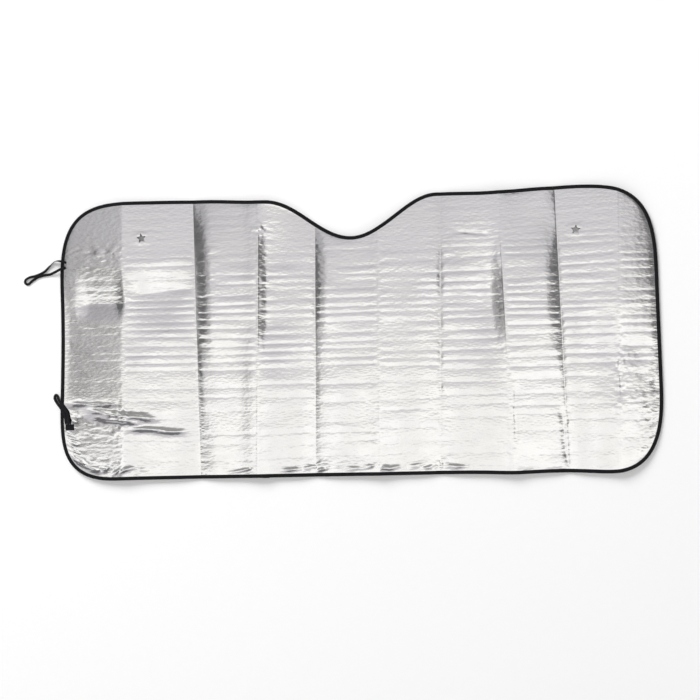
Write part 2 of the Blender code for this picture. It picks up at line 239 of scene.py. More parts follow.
@dataclass(frozen=True)
class SheetPlan:
    """Outline, folds and levels of the sheet, as its solids have them.

    Each fold is an X at the middle height and how far it leans. The pulls give it the slight drift
    of a real sheet.
    """

    folds: tuple[tuple[float, float], ...] = (
        (-0.504, 0.016), (-0.3430, -0.012), (-0.208, 0.023), (-0.0835, 0.018), (0.054, 0.017),
        (0.186, 0.023), (0.325, -0.027), (0.443, -0.020), (0.5605, 0.022),
    )
    half_width: float = 0.650
    bottom: float = 0.0
    height: float = 0.603
    top_rise: float = 0.013
    side_taper: float = 0.002
    top_corner_width: float = 0.190
    top_corner_height: float = 0.224
    top_corner_power: float = 3.5
    bottom_corner_width: float = 0.138
    bottom_corner_height: float = 0.181
    bottom_corner_power: float = 2.84
    notch_depth: float = 0.087
    notch_half_width: float = 0.188
    fold_rise: float = 0.010
    fold_memory: float = 0.8
    fold_middle: float = 0.3015
    left_fall: float = 0.156
    right_fall: float = 0.094
    middle_level: float = 0.0024
    corner_points: int = 160
    notch_points: int = 400
    pulls: tuple[Pull, ...] = (
        Pull((-0.200, 0.600), (0.080, 0.100), (0.0, -0.0048)),
        Pull((0.300, 0.600), (0.090, 0.100), (0.0, -0.0045)),
        Pull((-0.650, 0.320), (0.100, 0.130), (0.0028, 0.0)),
        Pull((-0.630, 0.050), (0.080, 0.080), (-0.0060, -0.0050)),
        Pull((0.560, 0.010), (0.080, 0.080), (0.0020, -0.0050)),
        Pull((0.335, 0.0), (0.060, 0.080), (0.0, -0.0025)),
    )

    @property
    def panels(self) -> int:
        """Number of panels."""
        return len(self.folds) + 1

    @property
    def top_half_width(self) -> float:
        """Half of the width at the top corners."""
        return self.half_width - self.side_taper

    @property
    def top_corner_x(self) -> float:
        """Where a top corner begins to round, from the middle."""
        return self.top_half_width - self.top_corner_width

    @property
    def top_corner_y(self) -> float:
        """Height at which a side begins to round into a top corner."""
        return self.height + self.top_rise * self.top_corner_x - self.top_corner_height

    @property
    def bottom_corner_x(self) -> float:
        """Where a bottom corner begins to round, from the middle."""
        return self.half_width - self.bottom_corner_width

    def inset(self, depth: float) -> "SheetPlan":
        """Plan of the same sheet with its outline moved inwards by a depth.

        Args:
            depth: how far inwards the outline moves.

        Returns:
            The plan of the smaller outline.
        """
        return replace(self, half_width=self.half_width - depth, bottom=self.bottom + depth,
                       height=self.height - depth,
                       top_corner_width=self.top_corner_width - depth,
                       top_corner_height=self.top_corner_height - depth,
                       bottom_corner_width=self.bottom_corner_width - depth,
                       bottom_corner_height=self.bottom_corner_height - depth)

    @staticmethod
    def corner_drop(share: np.ndarray, power: float) -> np.ndarray:
        """Drop of a superellipse corner, as a share of its height, at a share of its width."""
        inside = np.clip(share, 0.0, 1.0)
        return 1.0 - (1.0 - inside ** power) ** (1.0 / power)

    def bottom_edge(self, x: np.ndarray) -> np.ndarray:
        """Height of the bottom edge at x."""
        share = (np.abs(x) - self.bottom_corner_x) / self.bottom_corner_width
        return self.bottom + self.bottom_corner_height * self.corner_drop(share, self.bottom_corner_power)

    def top_edge(self, x: np.ndarray) -> np.ndarray:
        """Height of the top edge at x, with the mirror notch in its middle.

        Args:
            x: places along the width.

        Returns:
            Height of the edge at each place.
        """
        reach = np.abs(x)
        notch = 0.5 * (1.0 + np.cos(math.pi * np.minimum(reach / self.notch_half_width, 1.0)))
        drop = self.top_corner_height * self.corner_drop(
            (reach - self.top_corner_x) / self.top_corner_width, self.top_corner_power)
        rise = self.top_rise * np.minimum(reach, self.top_corner_x)
        return self.height + rise - self.notch_depth * notch - drop

    def side_edge(self, y: np.ndarray) -> np.ndarray:
        """Half width of the sheet at the height y.

        Args:
            y: heights above the drawn bottom edge.

        Returns:
            Distance of the side from the middle at each height.
        """
        corner = self.bottom + self.bottom_corner_height
        low = self.bottom_corner_width * self.corner_drop(
            (corner - y) / self.bottom_corner_height, self.bottom_corner_power)
        high = self.top_corner_width * self.corner_drop(
            (y - self.top_corner_y) / self.top_corner_height, self.top_corner_power)
        share = np.clip((y - corner) / (self.top_corner_y - corner), 0.0, 1.0)
        return self.half_width + (self.top_half_width - self.half_width) * share - low - high

    def fold_x(self, fold: int, y: np.ndarray) -> np.ndarray:
        """X of a fold line at the height y. The first and last are the sheet's own sides.

        Args:
            fold: number of the fold from the left.
            y: heights above the drawn bottom edge.

        Returns:
            X of the fold line at each height.
        """
        if fold == 0:
            return -self.side_edge(y)
        if fold == self.panels:
            return self.side_edge(y)
        middle, lean = self.folds[fold - 1]
        return middle + lean * (y - self.fold_middle)

    def fold_foot(self, fold: int) -> float:
        """Height at which a fold line meets the bottom edge.

        Args:
            fold: number of the fold from the left.

        Returns:
            Height of the fold line's lower end.
        """
        if fold in (0, self.panels):
            share = 1.0 - 0.5 ** (1.0 / self.bottom_corner_power)
            return self.bottom + self.bottom_corner_height * share
        return float(self.bottom_edge(self.fold_x(fold, np.array(0.0))))

    def fold_head(self, fold: int) -> float:
        """Height at which a fold line meets the top edge.

        Args:
            fold: number of the fold from the left.

        Returns:
            Height of the fold line's upper end.
        """
        if fold in (0, self.panels):
            return self.top_corner_y + self.top_corner_height * 0.5 ** (1.0 / self.top_corner_power)
        head = np.array(self.height)
        for _ in range(4):
            head = self.top_edge(self.fold_x(fold, head))
        return float(head)

    def place(self, panel: int, share: np.ndarray, rise: np.ndarray) -> tuple[np.ndarray, np.ndarray]:
        """Places on the flat outline.

        Args:
            panel: number of the panel from the left.
            share: shares of the panel's width.
            rise: shares of the height from the bottom edge to the top edge.

        Returns:
            X and Y of each place.
        """
        feet, heads, lines = [], [], []
        for fold in (panel, panel + 1):
            low, high = self.fold_foot(fold), self.fold_head(fold)
            feet.append(self.fold_x(fold, np.array(low)))
            heads.append(self.fold_x(fold, np.array(high)))
            lines.append(self.fold_x(fold, low + (high - low) * rise))
        foot = self.bottom_edge(feet[0] + (feet[1] - feet[0]) * share)
        head = self.top_edge(heads[0] + (heads[1] - heads[0]) * share)
        return lines[0] + (lines[1] - lines[0]) * share, foot + (head - foot) * rise

    def level(self, x: np.ndarray, y: np.ndarray) -> np.ndarray:
        """Rise of the sheet's middle: ridges at odd folds, valleys at even ones, flat end panels.

        Args:
            x: places along the width.
            y: heights of those places above the drawn bottom edge.

        Returns:
            Height of the sheet's middle over the floor at each place.
        """
        x, y = np.broadcast_arrays(np.asarray(x, float), np.asarray(y, float))
        risen = np.zeros(x.shape)
        lines = [self.fold_x(fold, y) for fold in range(1, self.panels)]
        for panel in range(self.panels):
            inside = np.ones(x.shape, bool)
            if panel > 0:
                inside &= x > lines[panel - 1]
            if panel < self.panels - 1:
                inside &= x <= lines[panel]
            if panel in (0, self.panels - 1):
                line, run = (lines[0], self.left_fall) if panel == 0 else (lines[-1], self.right_fall)
                here = self.fold_rise * (1.0 - np.abs(x - line) / run)
            else:
                share = (x - lines[panel - 1]) / (lines[panel] - lines[panel - 1])
                bent = share + self.fold_memory * np.sin(2 * math.pi * share) / (2 * math.pi)
                first, last = (self.fold_rise * (fold % 2) for fold in (panel, panel + 1))
                here = first + (last - first) * bent
            risen = np.where(inside, here, risen)
        return self.middle_level + risen

    def settled(self, x: np.ndarray, y: np.ndarray) -> tuple[np.ndarray, np.ndarray]:
        """Where a place of the drawn outline lies on the settled sheet, still measured as drawn.

        Args:
            x: places along the width.
            y: heights of those places above the drawn bottom edge.

        Returns:
            X and Y of each place on the settled sheet.
        """
        weights = [pull.weight(x, y) for pull in self.pulls]
        return (x + sum(pull.shift[0] * weight for pull, weight in zip(self.pulls, weights)),
                y + sum(pull.shift[1] * weight for pull, weight in zip(self.pulls, weights)))

    def rim_distance(self, x: np.ndarray, y: np.ndarray) -> np.ndarray:
        """Rough distance of each place from the sheet's edge."""
        upright = np.minimum(y - self.bottom_edge(x), self.top_edge(x) - y)
        return np.minimum(upright, self.side_edge(y) - np.abs(x))

    def outline(self, step: float) -> np.ndarray:
        """Places at even steps round the outline, anticlockwise from the middle of the bottom edge.

        Args:
            step: distance between the places.

        Returns:
            X and Y of each place, a row for each.
        """
        turn = np.linspace(0.0, math.pi / 2, self.corner_points)
        bend = 2.0 / self.bottom_corner_power
        low_x = self.bottom_corner_x + self.bottom_corner_width * np.sin(turn) ** bend
        low_y = self.bottom + self.bottom_corner_height * (1.0 - np.cos(turn) ** bend)
        bend = 2.0 / self.top_corner_power
        high_x = self.top_corner_x + self.top_corner_width * np.cos(turn) ** bend
        high_y = self.top_corner_y + self.top_corner_height * np.sin(turn) ** bend
        top_x = np.linspace(self.top_corner_x, 0.0, self.notch_points)[1:]
        right = np.concatenate([
            np.array([[0.0, self.bottom]]), np.column_stack([low_x, low_y]),
            np.column_stack([high_x, high_y]), np.column_stack([top_x, self.top_edge(top_x)])])
        left = right[-2:0:-1] * np.array([-1.0, 1.0])
        ring = np.vstack([right, left, right[:1]])
        far = walked(ring)
        at = np.linspace(0.0, far[-1], round(far[-1] / step), endpoint=False)
        return np.column_stack([np.interp(at, far, ring[:, axis]) for axis in range(2)])


PLAN = SheetPlan()
CREASE_POWER = 1.5
WANDER_START = 40.0


@dataclass(frozen=True)
class CreaseShoulder:
    """Stiff strip of film beside a fold, turned further than its panel, whose turn fades further out."""

    fold: int
    side: float
    slope: float
    reach: float
    low: float
    high: float
    fade: float = 4.0
    soft: float = 0.06

    def relief(self, x: np.ndarray, y: np.ndarray) -> np.ndarray:
        """Rise that the strip adds to the sheet.

        Args:
            x: places along the width.
            y: places along the height.

        Returns:
            The added rise at each place.
        """
        away = self.side * (x - PLAN.fold_x(self.fold, y))
        share = np.clip(away / self.reach, 0.0, 1.0)
        settled = 1.0 - smooth_step(self.reach, self.fade * self.reach, away)
        held = window((self.low - self.soft, self.low + self.soft),
                      (self.high - self.soft, self.high + self.soft), y)
        rise = self.slope * self.reach * (share - share ** 5 / 5) * settled
        return np.where(away > 0.0, rise, 0.0) * held


@dataclass(frozen=True)
class Billow:
    """Level trough across part of the sheet, from which it rises towards both edges."""

    left: float
    right: float
    low: float
    trough: float
    high: float
    depth: float
    lean: float = 0.0
    soft: float = 0.025
    power: float = 1.15

    def relief(self, x: np.ndarray, y: np.ndarray) -> np.ndarray:
        """Rise that the trough adds to the sheet, below zero.

        Args:
            x: places along the width.
            y: heights of those places above the drawn bottom edge.

        Returns:
            The rise at each place.
        """
        level = y - self.lean * (x - (self.left + self.right) / 2)
        below = np.clip((level - self.low) / (self.trough - self.low), 0.0, 1.0)
        above = np.clip((self.high - level) / (self.high - self.trough), 0.0, 1.0)
        sides = window((self.left - self.soft, self.left + self.soft),
                       (self.right - self.soft, self.right + self.soft), x)
        return -self.depth * np.minimum(below, above) ** self.power * sides


@dataclass(frozen=True)
class Furrow:
    """Sharp wrinkle pressed into the film between two places."""

    start: tuple[float, float]
    end: tuple[float, float]
    width: float
    depth: float
    ends: tuple[float, float] = (0.25, 0.75)
    wander: float = 0.25
    wander_turns: float = 9.0

    def relief(self, x: np.ndarray, y: np.ndarray) -> np.ndarray:
        """Rise that the wrinkle adds to the sheet, below zero in a furrow.

        Args:
            x: places along the width.
            y: heights of those places above the drawn bottom edge.

        Returns:
            The rise at each place.
        """
        ax, ay = self.start
        along_x, along_y = self.end[0] - ax, self.end[1] - ay
        length = math.hypot(along_x, along_y)
        share = ((x - ax) * along_x + (y - ay) * along_y) / length ** 2
        aside = ((x - ax) * along_y - (y - ay) * along_x) / length
        held = window((0.0, self.ends[0]), (self.ends[1], 1.0), share)
        wave = aside + self.wander * self.width * np.sin(self.wander_turns * share + WANDER_START * ax)
        return -self.depth * np.exp(-np.abs(wave / self.width) ** CREASE_POWER) * held


@dataclass(frozen=True)
class FilmStep:
    """Sharp step across a line, beyond which the film lies lower for some way."""

    start: tuple[float, float]
    end: tuple[float, float]
    width: float
    depth: float
    held: float
    ends: tuple[float, float] = (0.25, 0.75)
    wander: float = 0.3
    wander_turns: float = 11.0
    return_share: float = 0.7

    def relief(self, x: np.ndarray, y: np.ndarray) -> np.ndarray:
        """Rise that the step adds to the sheet, below zero beyond its line.

        Args:
            x: places along the width.
            y: heights of those places above the drawn bottom edge.

        Returns:
            The rise at each place.
        """
        share = (x - self.start[0]) / (self.end[0] - self.start[0])
        line = self.start[1] + share * (self.end[1] - self.start[1])
        wave = np.sin(self.wander_turns * share + WANDER_START * self.start[0])
        beyond = y - line - self.wander * self.width * wave
        lower = window((-self.width, self.width), (self.return_share * self.held, self.held), beyond)
        return -self.depth * lower * window((0.0, self.ends[0]), (self.ends[1], 1.0), share)


@dataclass(frozen=True)
class FoldLine:
    """Narrow pressed line along a fold, a groove or a sharp ridge."""

    fold: int
    rise: float
    width: float = 0.0016
    low: float = 0.0
    high: float = 0.62
    soft: float = 0.03

    def relief(self, x: np.ndarray, y: np.ndarray) -> np.ndarray:
        """Rise that the line adds to the sheet.

        Args:
            x: places along the width.
            y: heights of those places above the drawn bottom edge.

        Returns:
            The rise at each place.
        """
        aside = (x - PLAN.fold_x(self.fold, y)) / self.width
        held = window((self.low - self.soft, self.low), (self.high, self.high + self.soft), y)
        return self.rise * np.exp(-np.abs(aside) ** CREASE_POWER) * held


@dataclass(frozen=True)
class RimPuckers:
    """Short furrows, one after another, where the tape gathers the film beside it.

    The turns say how much slower or quicker than the row itself each sway in it runs.
    """

    left: float
    right: float
    low: float
    high: float
    depth: float
    pitch: float
    away: float = 0.017
    width: float = 0.0035
    soft: float = 0.02
    sway: float = 0.003
    turns: tuple[float, float, float] = (0.37, 2.3, 0.61)

    def relief(self, x: np.ndarray, y: np.ndarray) -> np.ndarray:
        """Rise that the furrows add to the sheet, below zero.

        Args:
            x: places along the width.
            y: heights of those places above the drawn bottom edge.

        Returns:
            The rise at each place.
        """
        turn = 2 * math.pi * (x - y) / self.pitch
        slow, quick, side = (np.sin(turn * share) for share in self.turns)
        wave = np.sin(turn + 1.7 * slow) + 0.5 * quick
        aside = (PLAN.rim_distance(x, y) - self.away - self.sway * side) / self.width
        inside = window((self.left, self.left + self.soft), (self.right - self.soft, self.right), x)
        inside = inside * window((self.low - self.soft / 2, self.low), (self.high, self.high + self.soft), y)
        return -self.depth * smooth_step(-0.2, 0.9, wave) * np.exp(-np.abs(aside) ** CREASE_POWER) * inside


@dataclass(frozen=True)
class CrumpledPatch:
    """Part of the film that is crumpled more than the rest."""

    centre: tuple[float, float]
    reach: tuple[float, float]
    strength: float

    def weight(self, x: np.ndarray, y: np.ndarray) -> np.ndarray:
        """How strongly the film is crumpled at each place."""
        return self.strength * bell(x, y, self.centre, self.reach)


@dataclass(frozen=True)
class StarHole:
    """Star-shaped punched hole with the foil's lip lifted a little round it."""

    centre: tuple[float, float]
    turn: float
    points: int = 5
    tip: float = 0.011
    waist: float = 0.0055
    lip: float = 0.0005
    lip_width: float = 0.004
    punch_reach: float = 0.02

    def radius(self, index: int) -> float:
        """Radius of a corner of the star."""
        return self.waist if index % 2 else self.tip

    def corners(self) -> list[tuple[float, float]]:
        """Corners of the star in the frame."""
        found = []
        for index in range(2 * self.points):
            angle = math.radians(self.turn) + math.pi * index / self.points
            found.append((self.centre[0] + self.radius(index) * math.cos(angle),
                          self.centre[1] + SHEET_DATUM + self.radius(index) * math.sin(angle)))
        return found

    def relief(self, x: np.ndarray, y: np.ndarray) -> np.ndarray:
        """Rise of the lip."""
        reach = np.hypot(x - self.centre[0], y - self.centre[1])
        return self.lip * np.exp(-((reach - self.tip) / self.lip_width) ** 2)

    def punch(self, finish: bpy.types.Material) -> bpy.types.Object:
        """Star-shaped prism that cuts the hole.

        Args:
            finish: material of the cut walls.

        Returns:
            The prism.
        """
        shape = bmesh.new()
        level = float(PLAN.level(np.array(self.centre[0]), np.array(self.centre[1])))
        low, high = ([shape.verts.new((*corner, level + reach)) for corner in self.corners()]
                     for reach in (-self.punch_reach, self.punch_reach))
        shape.faces.new(low[::-1])
        shape.faces.new(high)
        for index in range(len(low)):
            after = (index + 1) % len(low)
            shape.faces.new((low[index], low[after], high[after], high[index]))
        data = bpy.data.meshes.new("star_punch")
        shape.to_mesh(data)
        shape.free()
        data.materials.append(finish)
        return put_in_scene("star_punch", data)


@dataclass(frozen=True)
class FoilFinish:
    """Vacuum-metallised aluminium film over bubble film: bright, with the bubbles' soft grain."""

    colour: str = "#F6F6F7"
    warm: str = "#F4F3F0"
    grain: float = 0.0045
    speckle: float = 0.0014
    grain_depth: float = 0.0003
    speckle_depth: float = 0.0001
    stretch: tuple[float, float, float] = (0.45, 1.0, 1.0)
    drift: float = 9.0
    roughness: tuple[float, float] = (0.12, 0.20)

    def material(self) -> bpy.types.Material:
        """Metal whose grain and slight colour drift come from its place on the sheet."""
        made, tree, shader = new_material("metallised_film")
        shader.inputs["Metallic"].default_value = 1.0
        place = add_node(tree, "ShaderNodeTexCoord").outputs["Object"]
        flat = add_node(tree, "ShaderNodeMapping", links={"Vector": place, "Scale": self.stretch}).outputs[0]
        drift = add_node(tree, "ShaderNodeTexNoise", links={
            "Vector": place, "Scale": self.drift, "Detail": 2.0})
        tint = add_node(tree, "ShaderNodeMix", {"data_type": "RGBA"},
                        {0: drift.outputs["Fac"], 6: linear(self.colour), 7: linear(self.warm)})
        tree.links.new(tint.outputs[2], shader.inputs["Base Color"])
        dull = add_node(tree, "ShaderNodeTexNoise", links={
            "Vector": flat, "Scale": 1.0 / (4 * self.grain), "Detail": 3.0})
        known = {"dull": dull.outputs["Fac"]}
        add_steps(tree, known, [("rough", Step.EVEN, "dull", 0.3, 0.7, *self.roughness)])
        tree.links.new(known["rough"], shader.inputs["Roughness"])
        cells = add_node(tree, "ShaderNodeTexVoronoi", {"feature": "SMOOTH_F1"}, {
            "Vector": flat, "Scale": 1.0 / self.grain, "Smoothness": 0.4})
        fine = add_node(tree, "ShaderNodeTexNoise", links={
            "Vector": flat, "Scale": 1.0 / self.speckle, "Detail": 2.0})
        soft = add_node(tree, "ShaderNodeBump", links={
            "Height": cells.outputs["Distance"], "Distance": self.grain_depth, "Strength": 0.5})
        crisp = add_node(tree, "ShaderNodeBump", links={
            "Height": fine.outputs["Fac"], "Distance": self.speckle_depth, "Strength": 0.5,
            "Normal": soft.outputs[0]})
        tree.links.new(crisp.outputs[0], shader.inputs["Normal"])
        return made


@dataclass(frozen=True)
class FoamWithPaintedShade:
    """Extruded polyethylene foam, bare on the underside and in the holes, with small cells: its matt grey is
    kept dark as painted shade, so that the star holes and the floor seen through them look dark.
    """

    # Both greys are kept dark as painted shade, so that the star holes and the floor seen through them look
    # dark.
    colour: str = "#7E7C80"
    pore: str = "#5E5C60"
    cell: float = 0.0009
    cell_depth: float = 0.0002

    def material(self) -> bpy.types.Material:
        """Matt foam with pores, its grey darkened as painted shade for the star holes."""
        made, tree, shader = new_material("foam_with_painted_hole_shade")
        shader.inputs["Roughness"].default_value = 0.85
        place = add_node(tree, "ShaderNodeTexCoord").outputs["Object"]
        pores = add_node(tree, "ShaderNodeTexVoronoi", links={"Vector": place, "Scale": 1.0 / self.cell})
        shade = add_node(tree, "ShaderNodeMix", {"data_type": "RGBA"}, {
            0: pores.outputs["Distance"], 6: linear(self.pore), 7: linear(self.colour)})
        tree.links.new(shade.outputs[2], shader.inputs["Base Color"])
        bump = add_node(tree, "ShaderNodeBump", links={
            "Height": pores.outputs["Distance"], "Distance": self.cell_depth})
        tree.links.new(bump.outputs[0], shader.inputs["Normal"])
        return made


@dataclass(frozen=True)
class WovenFinish:
    """Woven or knitted polyester, drawn with threads coarse enough to show: matt black with fine rows."""

    name: str
    colour: str
    worn: str
    thread: float
    rows: float
    depth: float = 0.00012
    fuzz: float = 900.0

    def material(self) -> bpy.types.Material:
        """Matt threads that follow the piece's own UV map, whose unit is a metre."""
        made, tree, shader = new_material(self.name)
        shader.inputs["Roughness"].default_value = 0.78
        shader.inputs["Sheen Weight"].default_value = 0.05
        shader.inputs["Specular IOR Level"].default_value = 0.25
        shader.inputs["Sheen Roughness"].default_value = 0.5
        uv = add_node(tree, "ShaderNodeUVMap", {"uv_map": "along"}).outputs[0]
        split = add_node(tree, "ShaderNodeSeparateXYZ", links={0: uv}).outputs
        fuzz = add_node(tree, "ShaderNodeTexNoise", links={"Vector": uv, "Scale": self.fuzz, "Detail": 3.0})
        known = {"along": split[0], "across": split[1], "fuzz": fuzz.outputs["Fac"]}
        add_steps(tree, known, (
            ("along", Step.MULTIPLY, "along", 2 * math.pi / self.thread), ("warp", Step.SINE, "along"),
            ("across", Step.MULTIPLY, "across", 2 * math.pi / self.rows), ("weft", Step.SINE, "across"),
            ("weave", Step.MULTIPLY, "warp", "weft"), ("level", Step.ADD, "weave", "fuzz"),
            ("shade", Step.EVEN, "level", -0.6, 1.6, 0.0, 1.0),
        ))
        tint = add_node(tree, "ShaderNodeMix", {"data_type": "RGBA"}, {
            0: known["shade"], 6: linear(self.colour), 7: linear(self.worn)})
        tree.links.new(tint.outputs[2], shader.inputs["Base Color"])
        bump = add_node(tree, "ShaderNodeBump", links={"Height": known["level"], "Distance": self.depth})
        tree.links.new(bump.outputs[0], shader.inputs["Normal"])
        return made


@dataclass(frozen=True)
class ThreadFinish:
    """Bonded polyester sewing thread: dark and a little glossy."""

    colour: str = "#111113"
    worn: str = "#1E1E21"
    drift: float = 400.0

    def material(self) -> bpy.types.Material:
        """Thread with a slight drift in its shade."""
        made, tree, shader = new_material("polyester_thread")
        shader.inputs["Roughness"].default_value = 0.5
        place = add_node(tree, "ShaderNodeTexCoord").outputs["Object"]
        drift = add_node(tree, "ShaderNodeTexNoise", links={"Vector": place, "Scale": self.drift})
        tint = add_node(tree, "ShaderNodeMix", {"data_type": "RGBA"}, {
            0: drift.outputs["Fac"], 6: linear(self.colour), 7: linear(self.worn)})
        tree.links.new(tint.outputs[2], shader.inputs["Base Color"])
        return made


@dataclass(frozen=True)
class FoilSheet:
    """Foil laminate: a closed sheet with folds, cross ridges, wrinkles and star-shaped holes.

    Each fade is a range of distances from the edge, or of heights, over which a relief comes in.
    """

    columns_per_panel: int = 24
    rows: int = 300
    coarse: int = 2
    inset: float = 0.0025
    half_thickness: float = 0.0015
    half_rim: float = 0.0009
    floor_gap: float = 0.0003
    ridge_height: float = 0.00068
    close_spacing: float = 0.0185
    wide_spacing: float = 0.0320
    spacing_change: float = 0.235
    ridge_drift: float = 2.6
    crinkle_height: float = 0.00022
    crinkle_size: float = 0.010
    crumple_height: float = 0.0018
    crumple_size: float = 0.009
    crumple_most: float = 1.2
    seed: float = 3.0
    panel_part: float = 0.31
    pillow_power: float = 0.55
    end_gather: float = 1.7
    fold_gather: float = 0.8
    bend_fade: tuple[float, float] = (0.005, 0.015)
    line_fade: tuple[float, float] = (0.006, 0.012)
    film_fade: tuple[float, float] = (0.007, 0.020)
    fold_fade: tuple[float, float] = (0.0, 0.010)
    plain_top: tuple[float, float] = (0.43, 0.53)
    plain_foot: tuple[float, float] = (0.16, 0.26)
    left_panel_share: float = 0.35
    shoulders: tuple[CreaseShoulder, ...] = (
        CreaseShoulder(2, 1.0, 0.110, 0.032, 0.290, 0.560),
        CreaseShoulder(2, 1.0, 0.130, 0.008, 0.110, 0.260),
        CreaseShoulder(3, -1.0, 0.050, 0.020, 0.000, 0.610),
        CreaseShoulder(3, 1.0, -0.205, 0.026, 0.260, 0.545, 4.0, 0.085),
        CreaseShoulder(4, 1.0, 0.095, 0.026, 0.330, 0.500, 4.0, 0.085),
        CreaseShoulder(7, -1.0, -0.165, 0.036, 0.270, 0.470, 3.0, 0.095),
        CreaseShoulder(7, 1.0, 0.060, 0.024, 0.000, 0.610),
        CreaseShoulder(8, -1.0, 0.065, 0.036, 0.260, 0.480, 4.0, 0.085),
        CreaseShoulder(8, -1.0, -0.060, 0.024, 0.500, 0.550),
        CreaseShoulder(8, -1.0, -0.060, 0.024, 0.000, 0.240),
        CreaseShoulder(9, 1.0, 0.020, 0.040, 0.000, 0.620, 2.6),
    )
    fold_lines: tuple[FoldLine, ...] = (
        FoldLine(1, -0.0002), FoldLine(2, -0.0002), FoldLine(3, 0.0001), FoldLine(4, -0.0001),
        FoldLine(5, 0.00006), FoldLine(6, -0.00006), FoldLine(7, 0.00008), FoldLine(8, -0.0002),
        FoldLine(9, 0.00006),
    )
    puckers: tuple[RimPuckers, ...] = (
        RimPuckers(-0.170, 0.240, 0.0, 0.1, 0.0022, 0.045, 0.018, 0.0045),
        RimPuckers(-0.300, -0.210, 0.0, 0.1, 0.0018, 0.040),
        RimPuckers(-0.650, -0.450, 0.0, 0.140, 0.0026, 0.036, 0.022, 0.0065),
        RimPuckers(0.560, 0.650, 0.080, 0.250, 0.0012, 0.050),
    )
    crumples: tuple[CrumpledPatch, ...] = (
        CrumpledPatch((-0.560, 0.495), (0.055, 0.022), 0.8),
        CrumpledPatch((-0.590, 0.430), (0.020, 0.050), 0.6),
        CrumpledPatch((-0.622, 0.070), (0.020, 0.045), 1.2),
        CrumpledPatch((-0.575, 0.028), (0.045, 0.016), 1.2),
        CrumpledPatch((-0.306, 0.440), (0.014, 0.120), 0.8),
        CrumpledPatch((-0.190, 0.540), (0.040, 0.016), 0.5),
        CrumpledPatch((-0.185, 0.430), (0.016, 0.110), 0.7),
        CrumpledPatch((-0.064, 0.440), (0.014, 0.070), 0.5),
        CrumpledPatch((0.280, 0.400), (0.022, 0.070), 0.5),
        CrumpledPatch((0.255, 0.525), (0.040, 0.018), 0.7),
        CrumpledPatch((0.223, 0.470), (0.035, 0.030), 0.5),
        CrumpledPatch((0.560, 0.210), (0.030, 0.080), 0.6),
        CrumpledPatch((0.443, 0.080), (0.014, 0.080), 0.4),
        CrumpledPatch((0.612, 0.120), (0.018, 0.070), 0.5),
        CrumpledPatch((-0.550, 0.100), (0.080, 0.050), 0.5),
        CrumpledPatch((-0.575, 0.167), (0.055, 0.009), 0.9),
        CrumpledPatch((-0.515, 0.140), (0.065, 0.016), 1.2),
        CrumpledPatch((-0.435, 0.107), (0.055, 0.010), 1.0),
        CrumpledPatch((-0.050, 0.022), (0.110, 0.010), 1.2),
        CrumpledPatch((0.160, 0.022), (0.060, 0.010), 1.2),
    )
    furrows: tuple[Furrow, ...] = (
        Furrow((-0.640, 0.169), (-0.510, 0.164), 0.0042, 0.0020),
        Furrow((-0.610, 0.158), (-0.425, 0.126), 0.0092, 0.0048),
        Furrow((-0.510, 0.113), (-0.360, 0.101), 0.0058, 0.0030),
        Furrow((-0.585, 0.143), (-0.455, 0.117), 0.0056, 0.0026),
        Furrow((-0.636, 0.112), (-0.606, 0.034), 0.0055, 0.0024),
        Furrow((-0.618, 0.060), (-0.560, 0.016), 0.0055, 0.0026),
        Furrow((-0.640, 0.135), (-0.560, 0.150), 0.0040, 0.0006),
        Furrow((0.220, 0.522), (0.300, 0.510), 0.0030, 0.0008),
        Furrow((0.545, 0.270), (0.566, 0.140), 0.0100, 0.0012),
        Furrow((0.344, 0.205), (0.338, 0.045), 0.0040, 0.0010),
        Furrow((0.436, 0.150), (0.446, 0.010), 0.0040, 0.0014),
    )
    steps: tuple[FilmStep, ...] = (
        FilmStep((-0.900, 0.174), (-0.380, 0.150), 0.0070, 0.0009, 0.220),
    )
    billows: tuple[Billow, ...] = (
        Billow(-0.600, -0.508, 0.345, 0.385, 0.468, 0.0034, 0.0, 0.015),
        Billow(-0.480, -0.365, 0.305, 0.408, 0.476, 0.0044, 0.10),
        Billow(-0.760, -0.400, 0.020, 0.380, 0.470, 0.0017),
        Billow(0.495, 0.620, 0.140, 0.262, 0.350, 0.0026),
    )
    holes: tuple[StarHole, ...] = (StarHole((-0.461, 0.527), 25.0), StarHole((0.478, 0.513), 13.0))
    foil: FoilFinish = FoilFinish()
    foam: FoamWithPaintedShade = FoamWithPaintedShade()

    def grid(self) -> tuple[np.ndarray, np.ndarray, np.ndarray]:
        """X, Y and panel number of each top corner, close together beside the folds.

        Returns:
            Three arrays of columns by rows.
        """
        plan = PLAN.inset(self.inset)
        rise = np.linspace(0.0, 1.0, self.rows + 1)[None, :]
        parts = []
        for panel in range(plan.panels):
            last = panel == plan.panels - 1
            even = np.linspace(0.0, 1.0, self.columns_per_panel + 1)[:None if last else -1]
            if panel == 0:
                even = 1.0 - (1.0 - even) ** self.end_gather
            elif last:
                even = even ** self.end_gather
            else:
                even = even - self.fold_gather * np.sin(2 * math.pi * even) / (2 * math.pi)
            x, y = plan.place(panel, even[:, None], rise)
            parts.append((x, y, np.full(x.shape, float(panel))))
        return tuple(np.vstack([part[at] for part in parts]) for at in range(3))

    def bend(self, x: np.ndarray, y: np.ndarray) -> np.ndarray:
        """Rise of the whole laminate's shoulders, troughs and furrows, none at the tape.

        Args:
            x: places along the width.
            y: heights of those places above the drawn bottom edge.

        Returns:
            The rise at each place.
        """
        forms = (*self.shoulders, *self.billows, *self.steps, *self.furrows, *self.puckers)
        rise = sum(form.relief(x, y) for form in forms)
        return rise * smooth_step(*self.bend_fade, PLAN.rim_distance(x, y))

